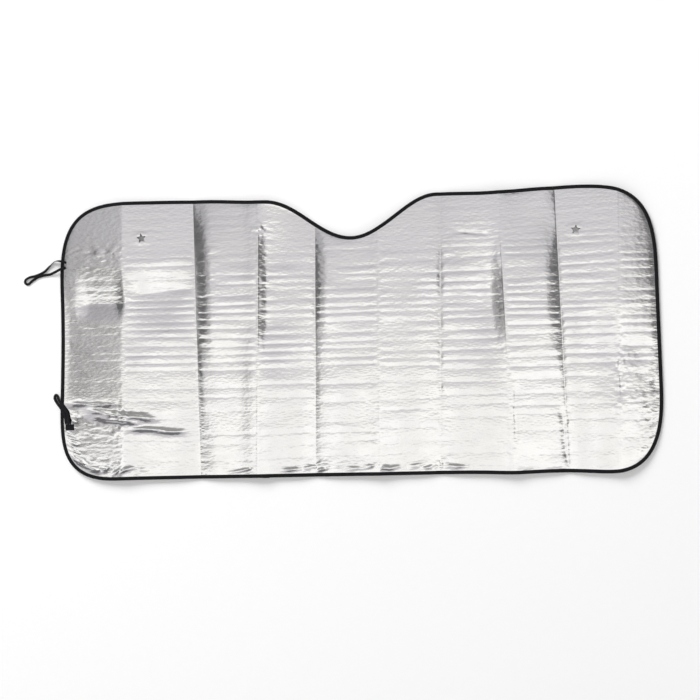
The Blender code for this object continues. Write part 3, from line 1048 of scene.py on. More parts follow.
    def wrinkle(self, x: np.ndarray, y: np.ndarray) -> np.ndarray:
        """Rise of the top film's fold lines, none where the tape holds it, and of the holes' lips.

        Args:
            x: places along the width.
            y: heights of those places above the drawn bottom edge.

        Returns:
            The rise at each place.
        """
        rise = sum(line.relief(x, y) for line in self.fold_lines)
        rise = rise * smooth_step(*self.line_fade, PLAN.rim_distance(x, y))
        return rise + sum(hole.relief(x, y) for hole in self.holes)

    def shares(self, x: np.ndarray, y: np.ndarray, panel: np.ndarray) -> dict[str, np.ndarray]:
        """What the tree of ridges needs to know of each place.

        Args:
            x: places along the width.
            y: places along the height.
            panel: number of each place's panel.

        Returns:
            How freely the film moves, how far it is crumpled and ridged, and the panel, by name.
        """
        fold_gap = np.min([np.abs(x - PLAN.fold_x(fold, y)) for fold in range(1, PLAN.panels)], axis=0)
        film = smooth_step(*self.film_fade, PLAN.rim_distance(x, y))
        crumple = film * np.clip(sum(patch.weight(x, y) for patch in self.crumples), 0.0, self.crumple_most)
        ridged = film * smooth_step(*self.fold_fade, fold_gap) * (1.0 - 0.8 * smooth_step(*self.plain_top, y))
        ridged = ridged * (0.6 + 0.4 * smooth_step(*self.plain_foot, y))
        ridged = ridged * np.where(panel == 0, self.left_panel_share, 1.0)
        return {"ridged": ridged, "film": film, "crumple": crumple, "panel": panel}

    def shell(self) -> bpy.types.Mesh:
        """Closed laminate before its ridges, with what the ridges need stored on its corners."""
        x, y, panel = self.grid()
        edge = np.zeros(x.shape, bool)
        edge[[0, -1], :] = True
        edge[:, [0, -1]] = True
        middle = PLAN.level(x, y) + self.bend(x, y)
        half = np.where(edge, self.half_rim, self.half_thickness)
        top = np.maximum(middle + half + self.wrinkle(x, y), self.floor_gap + 2 * self.half_rim)
        shares = self.shares(x, y, panel)
        x, y = PLAN.settled(x, y)
        keep = slice(None, None, self.coarse)
        low_x, low_y = x[keep, keep], y[keep, keep]
        low = np.maximum(middle[keep, keep] - half[keep, keep], self.floor_gap)
        corners = np.vstack([
            np.column_stack([x.ravel(), y.ravel() + SHEET_DATUM, top.ravel()]),
            np.column_stack([low_x.ravel(), low_y.ravel() + SHEET_DATUM, low.ravel()])])
        upper = np.arange(x.size).reshape(x.shape)
        lower = x.size + np.arange(low_x.size).reshape(low_x.shape)
        faces, rims = [], []
        for grid, order in ((upper, (0, 1, 2, 3)), (lower, (0, 3, 2, 1))):
            quad = (grid[:-1, :-1], grid[1:, :-1], grid[1:, 1:], grid[:-1, 1:])
            faces += np.stack([quad[at] for at in order], axis=-1).reshape(-1, 4).tolist()
            rims.append(np.concatenate([
                grid[:-1, 0], grid[-1, :-1], grid[:0:-1, -1], grid[0, :0:-1]]).tolist())
        around_up, around_low = rims
        for index, first in enumerate(around_low):
            second = around_low[(index + 1) % len(around_low)]
            start = index * self.coarse
            above = [around_up[(start + step) % len(around_up)] for step in range(self.coarse + 1)]
            faces.append((first, second, *above[::-1]))
        made = bpy.data.meshes.new("foil_shell")
        made.from_pydata(corners.tolist(), [], faces)
        for name, values in shares.items():
            stored = np.concatenate([values.ravel(), np.zeros(low_x.size)]).astype(np.float32)
            made.attributes.new(name, "FLOAT", "POINT").data.foreach_set("value", stored)
        made.polygons.foreach_set("use_smooth", [True] * len(made.polygons))
        filmed = np.arange(len(faces)) < (upper.shape[0] - 1) * (upper.shape[1] - 1)
        made.attributes.new("filmed", "BOOLEAN", "FACE").data.foreach_set("value", filmed)
        # The underside and rim get the dark foam, painted shade that darkens the star holes.
        made.polygons.foreach_set("material_index", (~filmed).astype(np.int32))
        return made

    def tree_inputs(self) -> dict[str, float]:
        """Sizes that the tree of ridges takes, by the names of its inputs."""
        return {"Ridge height": self.ridge_height, "Close spacing": self.close_spacing,
                "Wide spacing": self.wide_spacing, "Spacing change": self.spacing_change + SHEET_DATUM,
                "Ridge drift": self.ridge_drift, "Crinkle height": self.crinkle_height,
                "Crinkle size": self.crinkle_size, "Crumple height": self.crumple_height,
                "Crumple size": self.crumple_size, "Seed": self.seed}

    def ridge_tree(self) -> bpy.types.GeometryNodeTree:
        """Geometry Nodes tree that raises the pillows between the cross ridges and crinkles the film."""
        tree, given = new_tree("film_ridges", self.tree_inputs())
        place = tree.nodes.new("GeometryNodeInputPosition").outputs[0]
        split = add_node(tree, "ShaderNodeSeparateXYZ", links={0: place}).outputs
        known = {"x": split[0], "y": split[1], **{name: given[name] for name in self.tree_inputs()}}
        for name in ("ridged", "film", "crumple", "panel"):
            known[name] = add_node(tree, "GeometryNodeInputNamedAttribute", {"data_type": "FLOAT"},
                                   {"Name": name}).outputs["Attribute"]
        add_steps(tree, known, (
            ("panel", Step.MULTIPLY, "panel", self.panel_part), ("own seed", Step.ADD, "panel", "Seed"),
            ("drift x", Step.MULTIPLY, "x", 0.8), ("drift y", Step.MULTIPLY, "y", 13.0),
            ("uneven x", Step.MULTIPLY, "x", 9.0), ("uneven y", Step.MULTIPLY, "y", 22.0),
            ("crinkle x", Step.MULTIPLY, "x", 0.5), ("crinkle seed", Step.MULTIPLY, "Seed", 0.1),
            ("crinkle scale", Step.DIVIDE, 1.0, "Crinkle size"),
            ("crumple scale", Step.DIVIDE, 1.0, "Crumple size"),
        ))
        for name, axes, scale, detail in (
                ("drift", ("drift x", "drift y", "own seed"), 1.0, 1.0),
                ("uneven", ("uneven x", "uneven y", "own seed"), 1.0, 1.0),
                ("crinkle", ("crinkle x", "y", "crinkle seed"), known["crinkle scale"], 2.0)):
            spot = add_node(tree, "ShaderNodeCombineXYZ", links={
                at: known[axis] for at, axis in enumerate(axes)})
            known[name] = add_node(tree, "ShaderNodeTexNoise", links={
                "Vector": spot.outputs[0], "Scale": scale, "Detail": detail}).outputs["Fac"]
        known["facets"] = add_node(tree, "ShaderNodeTexVoronoi", links={
            "Vector": place, "Scale": known["crumple scale"], "Randomness": 1.0}).outputs["Distance"]
        add_steps(tree, known, (
            ("above", Step.SUBTRACT, "y", "Spacing change"),
            ("close", Step.MOST, "above", 0.0), ("close", Step.DIVIDE, "close", "Close spacing"),
            ("wide", Step.LEAST, "above", 0.0), ("wide", Step.DIVIDE, "wide", "Wide spacing"),
            ("turns", Step.ADD, "close", "wide"),
            ("drift", Step.SUBTRACT, "drift", 0.5), ("drift", Step.MULTIPLY, "drift", "Ridge drift"),
            ("turns", Step.ADD, "turns", "drift"), ("turns", Step.MULTIPLY, "turns", math.pi),
            ("wave", Step.SINE, "turns"), ("wave", Step.SIZE, "wave"),
            ("pillow", Step.POWER, "wave", self.pillow_power),
            ("uneven", Step.SUBTRACT, "uneven", 0.22), ("uneven", Step.MULTIPLY, "uneven", 2.6),
            ("uneven", Step.MOST, "uneven", 0.1), ("pillow", Step.MULTIPLY, "pillow", "uneven"),
            ("ridged", Step.MULTIPLY, "ridged", "Ridge height"),
            ("ridges", Step.MULTIPLY, "pillow", "ridged"),
            ("crinkle", Step.SUBTRACT, "crinkle", 0.5), ("film", Step.MULTIPLY, "film", "Crinkle height"),
            ("crinkle", Step.MULTIPLY, "crinkle", "film"),
            ("facets", Step.SUBTRACT, "facets", 0.5), ("crumple", Step.MULTIPLY, "crumple", "Crumple height"),
            ("facets", Step.MULTIPLY, "facets", "crumple"),
            ("small", Step.ADD, "crinkle", "facets"), ("rise", Step.ADD, "ridges", "small"),
        ))
        lift = add_node(tree, "ShaderNodeCombineXYZ", links={2: known["rise"]})
        moved = add_node(tree, "GeometryNodeSetPosition", links={
            "Geometry": given["Geometry"], "Offset": lift.outputs[0]})
        whole = add_node(tree, "GeometryNodeRealizeInstances", links={0: moved.outputs[0]})
        filmed = add_node(tree, "GeometryNodeInputNamedAttribute", {"data_type": "BOOLEAN"}, {
            "Name": "filmed"})
        dressed = add_node(tree, "GeometryNodeSetMaterial", links={
            "Geometry": whole.outputs[0], "Selection": filmed.outputs["Attribute"],
            "Material": given["Finish"]})
        tree.links.new(dressed.outputs[0], tree.nodes.new("NodeGroupOutput").inputs[0])
        return tree

    def build(self) -> bpy.types.Object:
        """The dressed sheet, in the place of its solid.

        Returns:
            The finished piece.
        """
        foil, foam = self.foil.material(), self.foam.material()
        raw = put_in_scene("foil_raw", self.shell())
        raw.data.materials.append(foil)
        raw.data.materials.append(foam)
        set_tree(raw, self.ridge_tree(), {**self.tree_inputs(), "Finish": foil})
        # The holes' walls get the dark foam too: painted shade inside the star holes.
        punches = [hole.punch(foam) for hole in self.holes]
        for punch in punches:
            cut = raw.modifiers.new("star_hole", "BOOLEAN")
            cut.operation = "DIFFERENCE"
            cut.object = punch
            cut.material_mode = "TRANSFER"
        mesh = plain_mesh(raw)
        for spare in (raw, *punches):
            bpy.data.objects.remove(spare)
        for name in ("ridged", "film", "crumple", "panel", "filmed"):
            if name in mesh.attributes:
                mesh.attributes.remove(mesh.attributes[name])
        mesh.set_sharp_from_angle(angle=math.radians(40))
        made = put_in_scene(Look.FOIL.value, mesh)
        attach(made, BODY)
        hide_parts("foil_sheet")
        return made


def set_tree(target: bpy.types.Object, tree: bpy.types.GeometryNodeTree, values: dict[str, Any]) -> None:
    """Puts a Geometry Nodes tree on an object and sets its inputs by their sockets' identifiers.

    Args:
        target: the object.
        tree: the tree.
        values: a value for each named input.
    """
    modifier = target.modifiers.new("tree", "NODES")
    modifier.node_group = tree
    for item in tree.interface.items_tree:
        if item.item_type == "SOCKET" and item.in_out == "INPUT" and item.name in values:
            modifier[item.identifier] = values[item.name]


def strip_mesh(name: str, rings: np.ndarray, along: np.ndarray, across: np.ndarray) -> bpy.types.Mesh:
    """Closed strip through rings of corners, its two ends filled, with a UV map in metres.

    Args:
        name: the mesh's name.
        rings: stations by section corners by three.
        along: distance of each station.
        across: distance round the section of each corner, and of the first corner again.

    Returns:
        The mesh.
    """
    stations, corners = rings.shape[:2]
    index = np.arange(stations * corners).reshape(stations, corners)
    shape = bmesh.new()
    verts = [shape.verts.new(corner) for corner in rings.reshape(-1, 3)]
    layer = shape.loops.layers.uv.new("along")
    for station in range(stations - 1):
        for corner in range(corners):
            spots = ((station, corner), (station, corner + 1),
                     (station + 1, corner + 1), (station + 1, corner))
            face = shape.faces.new([verts[index[row, column % corners]] for row, column in spots])
            face.smooth = True
            for loop, (row, column) in zip(face.loops, spots):
                loop[layer].uv = (along[row], across[column])
    for station, order in ((0, -1), (stations - 1, 1)):
        shape.faces.new([verts[i] for i in index[station, ::order]])
    bmesh.ops.recalc_face_normals(shape, faces=shape.faces)
    made = bpy.data.meshes.new(name)
    shape.to_mesh(made)
    shape.free()
    return made


@dataclass(frozen=True)
class EdgeTape:
    """Woven tape folded over the sheet's edge, its last end lapped over its first on the bottom edge.

    The section is in millimetres: how far into the sheet each corner lies, and how high above its
    middle. The outer corners come first and the inner ones last.
    """

    step: float = 0.004
    width: float = 0.008
    lap: float = 0.014
    lap_lift: float = 0.0008
    seam_x: float = -0.2022
    press: float = 0.00018
    press_turns: tuple[float, float] = (520.0, 211.0)
    outer_corners: int = 15
    fold_depth: float = 0.002
    lowest: float = 0.00002
    section: tuple[tuple[float, float], ...] = (
        (8.0, 1.60), (8.05, 2.05), (7.7, 2.34), (5.0, 2.40), (2.6, 2.36), (1.2, 2.00), (0.35, 1.25),
        (0.05, 0.0), (0.35, -1.25), (1.2, -2.0), (2.6, -2.34), (5.0, -2.38), (7.7, -2.34), (8.05, -2.05),
        (8.0, -1.60),
        (5.0, -1.78), (2.6, -1.72), (1.4, -1.2), (0.8, 0.0), (1.4, 1.2), (2.6, 1.72), (5.0, 1.78),
    )
    finish: WovenFinish = WovenFinish("woven_polyester_tape", "#08080A", "#1C1C1F", 0.0011, 0.0013)

    def ring(self) -> tuple[np.ndarray, np.ndarray]:
        """Stations round the outline from the seam, and their unit steps inwards."""
        places = PLAN.outline(self.step)
        start = int(np.argmin(np.hypot(places[:, 0] - self.seam_x, places[:, 1])))
        places = np.roll(places, -start, axis=0)
        tangent = np.roll(places, -1, axis=0) - np.roll(places, 1, axis=0)
        tangent /= np.linalg.norm(tangent, axis=1)[:, None]
        return places, np.column_stack([-tangent[:, 1], tangent[:, 0]])

    def station(self, place: np.ndarray, inward: np.ndarray, travelled: float, lift: float) -> np.ndarray:
        """Corners of the section at one place on the outline.

        Args:
            place: the place on the outline.
            inward: unit step into the sheet.
            travelled: distance along the tape, from which the tape's slight puckers come.
            lift: how far the tape stands off the one under it.

        Returns:
            One row of three for each corner.
        """
        depth, height = (np.array(values) / 1000 for values in zip(*self.section))
        quick, slow = (turns * travelled for turns in self.press_turns)
        pucker = self.press * (math.sin(quick) + 0.6 * math.sin(slow + 1.3)) / 2
        outer = np.arange(len(self.section)) < self.outer_corners
        height = height + np.sign(height) * outer * (lift + pucker * (depth > self.fold_depth))
        depth = depth - lift * (depth < self.fold_depth)
        flat = place[None, :] + inward[None, :] * depth[:, None]
        level = PLAN.level(flat[:, 0], flat[:, 1])
        x, y = PLAN.settled(flat[:, 0], flat[:, 1])
        spot = np.column_stack([x, y + SHEET_DATUM, level + height])
        spot[:, 2] = np.maximum(spot[:, 2], self.lowest)
        return spot

    def build(self) -> bpy.types.Object:
        """The tape all round, in the place of its solid."""
        places, inward = self.ring()
        lapped = round(self.lap / self.step)
        count = len(places)
        order = list(range(count)) + [index % count for index in range(count, count + lapped + 1)]
        rings = []
        for number, index in enumerate(order):
            over = min(max((number - count + 1) / 2, 0.0), 1.0) * self.lap_lift
            rings.append(self.station(places[index], inward[index], number * self.step, over))
        around = np.array(self.section + self.section[:1])
        mesh = strip_mesh(Look.BINDING.value, np.array(rings), np.arange(len(order)) * self.step,
                          walked(around) / 1000)
        mesh.materials.append(self.finish.material())
        made = put_in_scene(Look.BINDING.value, mesh)
        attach(made, BODY)
        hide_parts("edge_binding")
        return made


@dataclass(frozen=True)
class TapeStitches:
    """Lockstitch along the tape's inner edge, one short sunk stitch after another."""

    spacing: float = 0.0036
    length: float = 0.0028
    thickness: float = 0.0005
    depth: float = 0.0062
    height: float = 0.00245
    thread: ThreadFinish = ThreadFinish()

    def line(self) -> bpy.types.Mesh:
        """Line that the stitches follow, on the tape's face."""
        places, inward = EdgeTape().ring()
        flat = places + inward * self.depth
        level = PLAN.level(flat[:, 0], flat[:, 1]) + self.height
        x, y = PLAN.settled(flat[:, 0], flat[:, 1])
        spots = np.column_stack([x, y + SHEET_DATUM, level]).tolist()
        made = bpy.data.meshes.new("stitch_line")
        made.from_pydata(spots, [(i, (i + 1) % len(spots)) for i in range(len(spots))], [])
        return made

    def tree(self) -> bpy.types.GeometryNodeTree:
        """Geometry Nodes tree that sets one thread stitch at each even step of the line."""
        tree, given = new_tree("stitch_row", ("Spacing", "Length", "Thickness"))
        curve = add_node(tree, "GeometryNodeMeshToCurve", links={0: given["Geometry"]}).outputs[0]
        even = add_node(tree, "GeometryNodeResampleCurve", {"mode": "LENGTH"}, {
            "Curve": curve, "Length": given["Spacing"]}).outputs[0]
        points = add_node(tree, "GeometryNodeCurveToPoints", {"mode": "EVALUATED"}, {0: even}).outputs
        ball = add_node(tree, "GeometryNodeMeshIcoSphere", links={
            "Radius": 0.5, "Subdivisions": 2}).outputs[0]
        size = add_node(tree, "ShaderNodeCombineXYZ", links={
            0: given["Thickness"], 1: given["Thickness"], 2: given["Length"]}).outputs[0]
        placed = add_node(tree, "GeometryNodeInstanceOnPoints", links={
            "Points": points["Points"], "Instance": ball, "Rotation": points["Rotation"],
            "Scale": size}).outputs[0]
        whole = add_node(tree, "GeometryNodeRealizeInstances", links={0: placed}).outputs[0]
        dressed = add_node(tree, "GeometryNodeSetMaterial", links={
            "Geometry": whole, "Material": given["Finish"]})
        tree.links.new(dressed.outputs[0], tree.nodes.new("NodeGroupOutput").inputs[0])
        return tree

    def build(self) -> bpy.types.Object:
        """All stitches of the tape as one piece."""
        line = put_in_scene("stitch_line", self.line())
        set_tree(line, self.tree(), {"Spacing": self.spacing, "Length": self.length,
                                     "Thickness": self.thickness, "Finish": self.thread.material()})
        mesh = plain_mesh(line)
        bpy.data.objects.remove(line)
        mesh.polygons.foreach_set("use_smooth", [True] * len(mesh.polygons))
        made = put_in_scene(Look.STITCHES.value, mesh)
        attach(made, BODY)
        return made


def smooth_route(places: Sequence[tuple[float, float, float]], step: float, parts: int = 12) -> np.ndarray:
    """Points at even steps along a smooth curve through given places, in the frame.

    Args:
        places: the chosen places, with Y from the sheet's bottom edge.
        step: distance between points.
        parts: points on each span of the curve from which the even ones are taken.

    Returns:
        One row of three for each point.
    """
    chosen = np.array(places) + np.array([0.0, SHEET_DATUM, 0.0])
    ends = np.vstack([2 * chosen[0] - chosen[1], chosen, 2 * chosen[-1] - chosen[-2]])
    share = np.arange(parts)[:, None] / parts
    fine = []
    for before, here, there, after in zip(ends, ends[1:], ends[2:], ends[3:]):
        fine.append(0.5 * (2 * here + (there - before) * share
                           + (2 * before - 5 * here + 4 * there - after) * share ** 2
                           + (after - before + 3 * here - 3 * there) * share ** 3))
    line = np.vstack([*fine, chosen[-1:]])
    far = walked(line)
    at = np.linspace(0.0, far[-1], round(far[-1] / step) + 1)
    return np.column_stack([np.interp(at, far, line[:, axis]) for axis in range(3)])


@dataclass(frozen=True)
class ElasticLoop:
    """Flat knitted elastic doubled back on itself, both ends sewn to the sheet.

    Each roll is a share of the length, how far it spreads and how far the elastic is turned there.
    """

    look: Look
    node: str
    places: tuple[tuple[float, float, float], ...]
    width: float
    thickness: float
    rolls: tuple[tuple[float, float, float], ...]
    step: float = 0.0012
    sides: int = 14
    squareness: tuple[float, float] = (0.75, 0.6)
    lowest: float = 0.00005
    finish: WovenFinish = WovenFinish("knitted_elastic", "#09090B", "#222226", 0.0010, 0.0009)

    def build(self) -> bpy.types.Object:
        """The elastic along its route, in the place of its solid."""
        line = smooth_route(self.places, self.step)
        tangent = np.gradient(line, axis=0)
        tangent /= np.linalg.norm(tangent, axis=1)[:, None]
        aside = np.cross(np.array([0.0, 0.0, 1.0]), tangent)
        aside /= np.linalg.norm(aside, axis=1)[:, None]
        upward = np.cross(tangent, aside)
        share = np.linspace(0.0, 1.0, len(line))
        roll = sum(angle * np.exp(-((share - middle) / spread) ** 2) for middle, spread, angle in self.rolls)
        side = aside * np.cos(roll)[:, None] + upward * np.sin(roll)[:, None]
        lift = np.cross(tangent, side)
        round_section = np.linspace(0.0, 2 * math.pi, self.sides, endpoint=False)
        out, high = (np.sign(wave) * np.abs(wave) ** power * size / 2 for wave, power, size in zip(
            (np.cos(round_section), np.sin(round_section)), self.squareness, (self.width, self.thickness)))
        rings = line[:, None] + side[:, None] * out[None, :, None] + lift[:, None] * high[None, :, None]
        rings[:, :, 2] = np.maximum(rings[:, :, 2], self.lowest)
        around = np.column_stack([out, high])
        mesh = strip_mesh(self.look.value, rings, np.arange(len(line)) * self.step,
                          walked(np.vstack([around, around[:1]])))
        mesh.materials.append(self.finish.material())
        made = put_in_scene(self.look.value, mesh)
        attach(made, BODY)
        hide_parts(self.node)
        return made


UPPER_LOOP = ElasticLoop(Look.UPPER_LOOP, "upper_elastic_loop", (
    (-0.6330, 0.4800, 0.0080), (-0.6440, 0.4830, 0.0077), (-0.6530, 0.4840, 0.0064),
    (-0.6620, 0.4805, 0.0036), (-0.6710, 0.4725, 0.0022), (-0.6810, 0.4625, 0.0019),
    (-0.6930, 0.4560, 0.0019), (-0.7060, 0.4520, 0.0019), (-0.7170, 0.4498, 0.0019),
    (-0.7255, 0.4445, 0.0019), (-0.7262, 0.4380, 0.0019), (-0.7195, 0.4350, 0.0019),
    (-0.7095, 0.4425, 0.0019), (-0.6985, 0.4493, 0.0019), (-0.6855, 0.4530, 0.0019),
    (-0.6700, 0.4552, 0.0024), (-0.6575, 0.4595, 0.0052), (-0.6450, 0.4650, 0.0077),
    (-0.6340, 0.4690, 0.0080),
), width=0.0058, thickness=0.0016, rolls=((0.13, 0.09, 1.35), (0.5, 0.12, 0.3)))

LOWER_LOOP = ElasticLoop(Look.LOWER_LOOP, "lower_elastic_loop", (
    (-0.6368, 0.1243, 0.0076), (-0.6376, 0.1360, 0.0078), (-0.6396, 0.1460, 0.0080),
    (-0.6450, 0.1560, 0.0078), (-0.6524, 0.1660, 0.0066), (-0.6604, 0.1765, 0.0036),
    (-0.6628, 0.1835, 0.0021), (-0.6600, 0.1888, 0.0019), (-0.6560, 0.1858, 0.0023),
    (-0.6540, 0.1795, 0.0046), (-0.6470, 0.1698, 0.0075), (-0.6392, 0.1592, 0.0082),
    (-0.6332, 0.1483, 0.0085), (-0.6309, 0.1368, 0.0086), (-0.6302, 0.1243, 0.0086),
), width=0.0062, thickness=0.0018, rolls=((0.5, 0.1, 0.25),))


@dataclass(frozen=True)
class SewnTab:
    """Folded patch of tape that is sewn over the lower loop's two ends, on the foil."""

    half_thickness: float = 0.0006
    edge: float = 0.0006
    edge_width: float = 0.0009
    edge_share: float = 0.8
    stitch_inset: float = 0.0016
    stitch_width: float = 0.0003
    stitch_depth: float = 0.00022
    columns: int = 38
    rows: int = 26
    finish: WovenFinish = WovenFinish("woven_tab_tape", "#09090B", "#202024", 0.0012, 0.0014)

    def rise(self, side: float, rim: float) -> float:
        """Height of a face above the patch's middle.

        Args:
            side: one on the upper face and minus one on the lower.
            rim: distance from the patch's edge.

        Returns:
            The height, lower at the edge and at the sunk stitches of the upper face.
        """
        round_off = self.edge * (1.0 - min(rim / self.edge_width, 1.0)) ** 2
        across = (rim - self.stitch_inset) / self.stitch_width
        sunk = self.stitch_depth * math.exp(-across ** 2) * (side > 0)
        return side * (self.half_thickness - round_off * self.edge_share) - sunk

    def build(self) -> bpy.types.Object:
        """The patch in the place of its solid, with rounded edges and a sunk line of stitches."""
        low, high = (Vector(corner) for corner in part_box("lower_loop_tab"))
        columns, rows = self.columns, self.rows
        slope = (high.z - low.z - 2 * self.half_thickness) / (high.x - low.x)
        shape = bmesh.new()
        layer = shape.loops.layers.uv.new("along")
        width, height = high.x - low.x, high.y - low.y
        top, under = [], []
        for grid, side in ((top, 1.0), (under, -1.0)):
            for row in range(rows + 1):
                line = []
                for column in range(columns + 1):
                    x, y = width * column / columns, height * row / rows
                    middle = high.z - self.half_thickness - slope * (width - x)
                    z = middle + self.rise(side, min(x, width - x, y, height - y))
                    line.append(shape.verts.new((low.x + x, low.y + y, z)))
                grid.append(line)
        for row in range(rows):
            for column in range(columns):
                quad = ((row, column), (row, column + 1), (row + 1, column + 1), (row + 1, column))
                for grid, order in ((top, quad), (under, quad[::-1])):
                    face = shape.faces.new([grid[r][c] for r, c in order])
                    face.smooth = True
                    for loop, (r, c) in zip(face.loops, order):
                        loop[layer].uv = (width * c / columns, height * r / rows)
        ring = [(0, c) for c in range(columns)] + [(r, columns) for r in range(rows)]
        ring += [(rows, c) for c in range(columns, 0, -1)] + [(r, 0) for r in range(rows, 0, -1)]
        for index, (r, c) in enumerate(ring):
            r2, c2 = ring[(index + 1) % len(ring)]
            shape.faces.new((top[r][c], under[r][c], under[r2][c2], top[r2][c2]))
        bmesh.ops.recalc_face_normals(shape, faces=shape.faces)
        mesh = bpy.data.meshes.new(Look.TAB.value)
        shape.to_mesh(mesh)
        shape.free()
        mesh.materials.append(self.finish.material())
        made = put_in_scene(Look.TAB.value, mesh)
        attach(made, BODY)
        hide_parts("lower_loop_tab")
        return made


@dataclass(frozen=True)
class Studio:
    """Pale floor, bright surround with darker zones for the foil to mirror, a soft lamp and the camera.

    A place of the surround is told by its east and north: how far it leans from straight above the
    middle, per unit of height. Each zone is a range of places and the values at its two ends.
    """

    camera_place: tuple[float, float, float] = (0.2145347, -0.1330253, 2.5755620)
    camera_turn: tuple[float, float, float] = (0.0237, -0.0387, -0.0867)
    lens: float = 61.714
    floor_size: float = 24.0
    glow_span: tuple[float, float] = (1.0, 6.0)
    glow_levels: tuple[float, float] = (0.05, 0.42)
    shade_span: tuple[float, float] = (-0.14, 0.14)
    shades: tuple[tuple[float, tuple[float, float, float]], ...] = (
        (-0.110, (1.09, 1.085, 1.075)), (0.110, (0.725, 0.710, 0.740)), (-0.050, (1.17, 1.155, 1.125)),
        (-0.028, (0.985, 0.965, 0.930)), (-0.008, (0.715, 0.695, 0.680)), (0.012, (0.655, 0.638, 0.640)),
        (0.060, (0.680, 0.665, 0.690)), (0.138, (0.560, 0.550, 0.575)),
    )
    centre: tuple[float, float] = (-0.083, 0.052)
    least_height: float = 0.05
    west_edge: tuple[float, ...] = (-0.345, -0.290, 1.0, 0.0)
    west_depth: tuple[float, ...] = (-0.01, 0.08, 0.61, 0.28)
    west_foot: tuple[float, ...] = (-0.125, -0.070, 0.0, 1.0)
    west_deeper: tuple[float, ...] = (-0.045, 0.005, 1.22, 1.0)
    east_edge: tuple[float, ...] = (0.430, 0.480, 0.0, 0.24)
    east_foot: tuple[float, ...] = (-0.02, 0.02, 0.0, 1.0)
    middle_east: float = 0.03
    middle_edge: tuple[float, ...] = (0.08, 0.14, 0.10, 0.0)
    middle_head: tuple[float, ...] = (-0.06, -0.02, 1.0, 0.0)
    outer_edge: tuple[float, ...] = (0.465, 0.525, 0.0, 1.0)
    outer_foot: tuple[float, ...] = (-0.09, -0.04, 0.0, 1.0)
    south_edge: tuple[float, ...] = (-0.46, -0.20, 1.0, 0.0)
    north_edge: tuple[float, ...] = (0.34, 0.42, 0.0, 1.0)
    high_edge: tuple[float, float] = (0.60, 0.74)
    dark_share: float = 0.72
    strip_turns: float = 13.0
    strip_share: float = 0.24
    horizon: float = 0.62
    lamp_power: float = 690.0
    lamp_size: float = 4.5
    lamp_place: tuple[float, float, float] = (-4.0, 6.0, 4.4)

    def add_camera(self) -> None:
        """Camera at the photographed viewing angle, looking down."""
        data = bpy.data.cameras.new("camera")
        data.lens = self.lens
        data.sensor_width = 36.0
        made = put_in_scene("camera", data)
        about_z, about_x, about_y = self.camera_turn
        turn = Matrix.Rotation(about_z, 3, "Z") @ Matrix.Rotation(about_x, 3, "X")
        turn = turn @ Matrix.Rotation(about_y, 3, "Y")
        made.matrix_world = Matrix.Translation(self.camera_place) @ turn.transposed().to_4x4()
        bpy.context.scene.camera = made

    def add_surround(self) -> None:
        """World that is pale all round, with the soft patches that the foil mirrors."""
        world = bpy.data.worlds.new("surround")
        bpy.context.scene.world = world
        world.use_nodes = True
        tree = world.node_tree
        tree.nodes.clear()
        way = add_node(tree, "ShaderNodeTexCoord").outputs["Generated"]
        known = dict(zip("xyz", add_node(tree, "ShaderNodeSeparateXYZ", links={0: way}).outputs))
        add_steps(tree, known, (
            ("height", Step.MOST, "z", self.least_height),
            ("east", Step.DIVIDE, "x", "height"), ("east", Step.SUBTRACT, "east", self.centre[0]),
            ("north", Step.DIVIDE, "y", "height"), ("north", Step.SUBTRACT, "north", self.centre[1]),
            ("shade", Step.EVEN, "north", *self.shade_span, 0.0, 1.0),
            ("west", Step.SMOOTH, "east", *self.west_edge),
            ("depth", Step.SMOOTH, "north", *self.west_depth), ("west", Step.MULTIPLY, "west", "depth"),
            ("foot", Step.SMOOTH, "north", *self.west_foot), ("west", Step.MULTIPLY, "west", "foot"),
            ("deeper", Step.SMOOTH, "north", *self.west_deeper), ("west", Step.MULTIPLY, "west", "deeper"),
            ("edge", Step.SMOOTH, "east", *self.east_edge), ("foot", Step.SMOOTH, "north", *self.east_foot),
            ("right", Step.MULTIPLY, "edge", "foot"), ("dim", Step.ADD, "west", "right"),
            ("beside", Step.SUBTRACT, "east", self.middle_east), ("beside", Step.SIZE, "beside"),
            ("edge", Step.SMOOTH, "beside", *self.middle_edge),
            ("head", Step.SMOOTH, "north", *self.middle_head),
            ("middle", Step.MULTIPLY, "edge", "head"), ("dim", Step.ADD, "dim", "middle"),
            ("aside", Step.SIZE, "east"), ("edge", Step.SMOOTH, "aside", *self.outer_edge),
            ("foot", Step.SMOOTH, "north", *self.outer_foot), ("dark", Step.MULTIPLY, "edge", "foot"),
            ("south", Step.SMOOTH, "north", *self.south_edge), ("dark", Step.MOST, "dark", "south"),
            ("far", Step.SMOOTH, "north", *self.north_edge), ("dark", Step.MOST, "dark", "far"),
            ("high", Step.SMOOTH, "z", *self.high_edge, 0.0, 1.0), ("dark", Step.MULTIPLY, "dark", "high"),
            ("dark", Step.MULTIPLY, "dark", self.dark_share), ("lit", Step.SUBTRACT, 1.0, "dark"),
            ("level", Step.SUBTRACT, 1.0, "dim"), ("level", Step.MULTIPLY, "level", "lit"),
            ("strips", Step.MULTIPLY, "x", self.strip_turns), ("strips", Step.SINE, "strips"),
            ("low", Step.SMOOTH, "z", *self.high_edge, self.strip_share, 0.0),
            ("strips", Step.MULTIPLY, "strips", "low"), ("strips", Step.ADD, 1.0, "strips"),
            ("level", Step.MULTIPLY, "level", "strips"),
            ("rise", Step.SMOOTH, "z", 0.0, self.high_edge[0], self.horizon, 1.0),
            ("level", Step.MULTIPLY, "level", "rise"),
        ))
        shades = add_node(tree, "ShaderNodeValToRGB", links={0: known["shade"]})
        stops = shades.color_ramp.elements
        for number, (spot, colour) in enumerate(self.shades):
            stop = stops[number] if number < 2 else stops.new(1.0)
            stop.position = (spot - self.shade_span[0]) / (self.shade_span[1] - self.shade_span[0])
            stop.color = (*colour, 1.0)
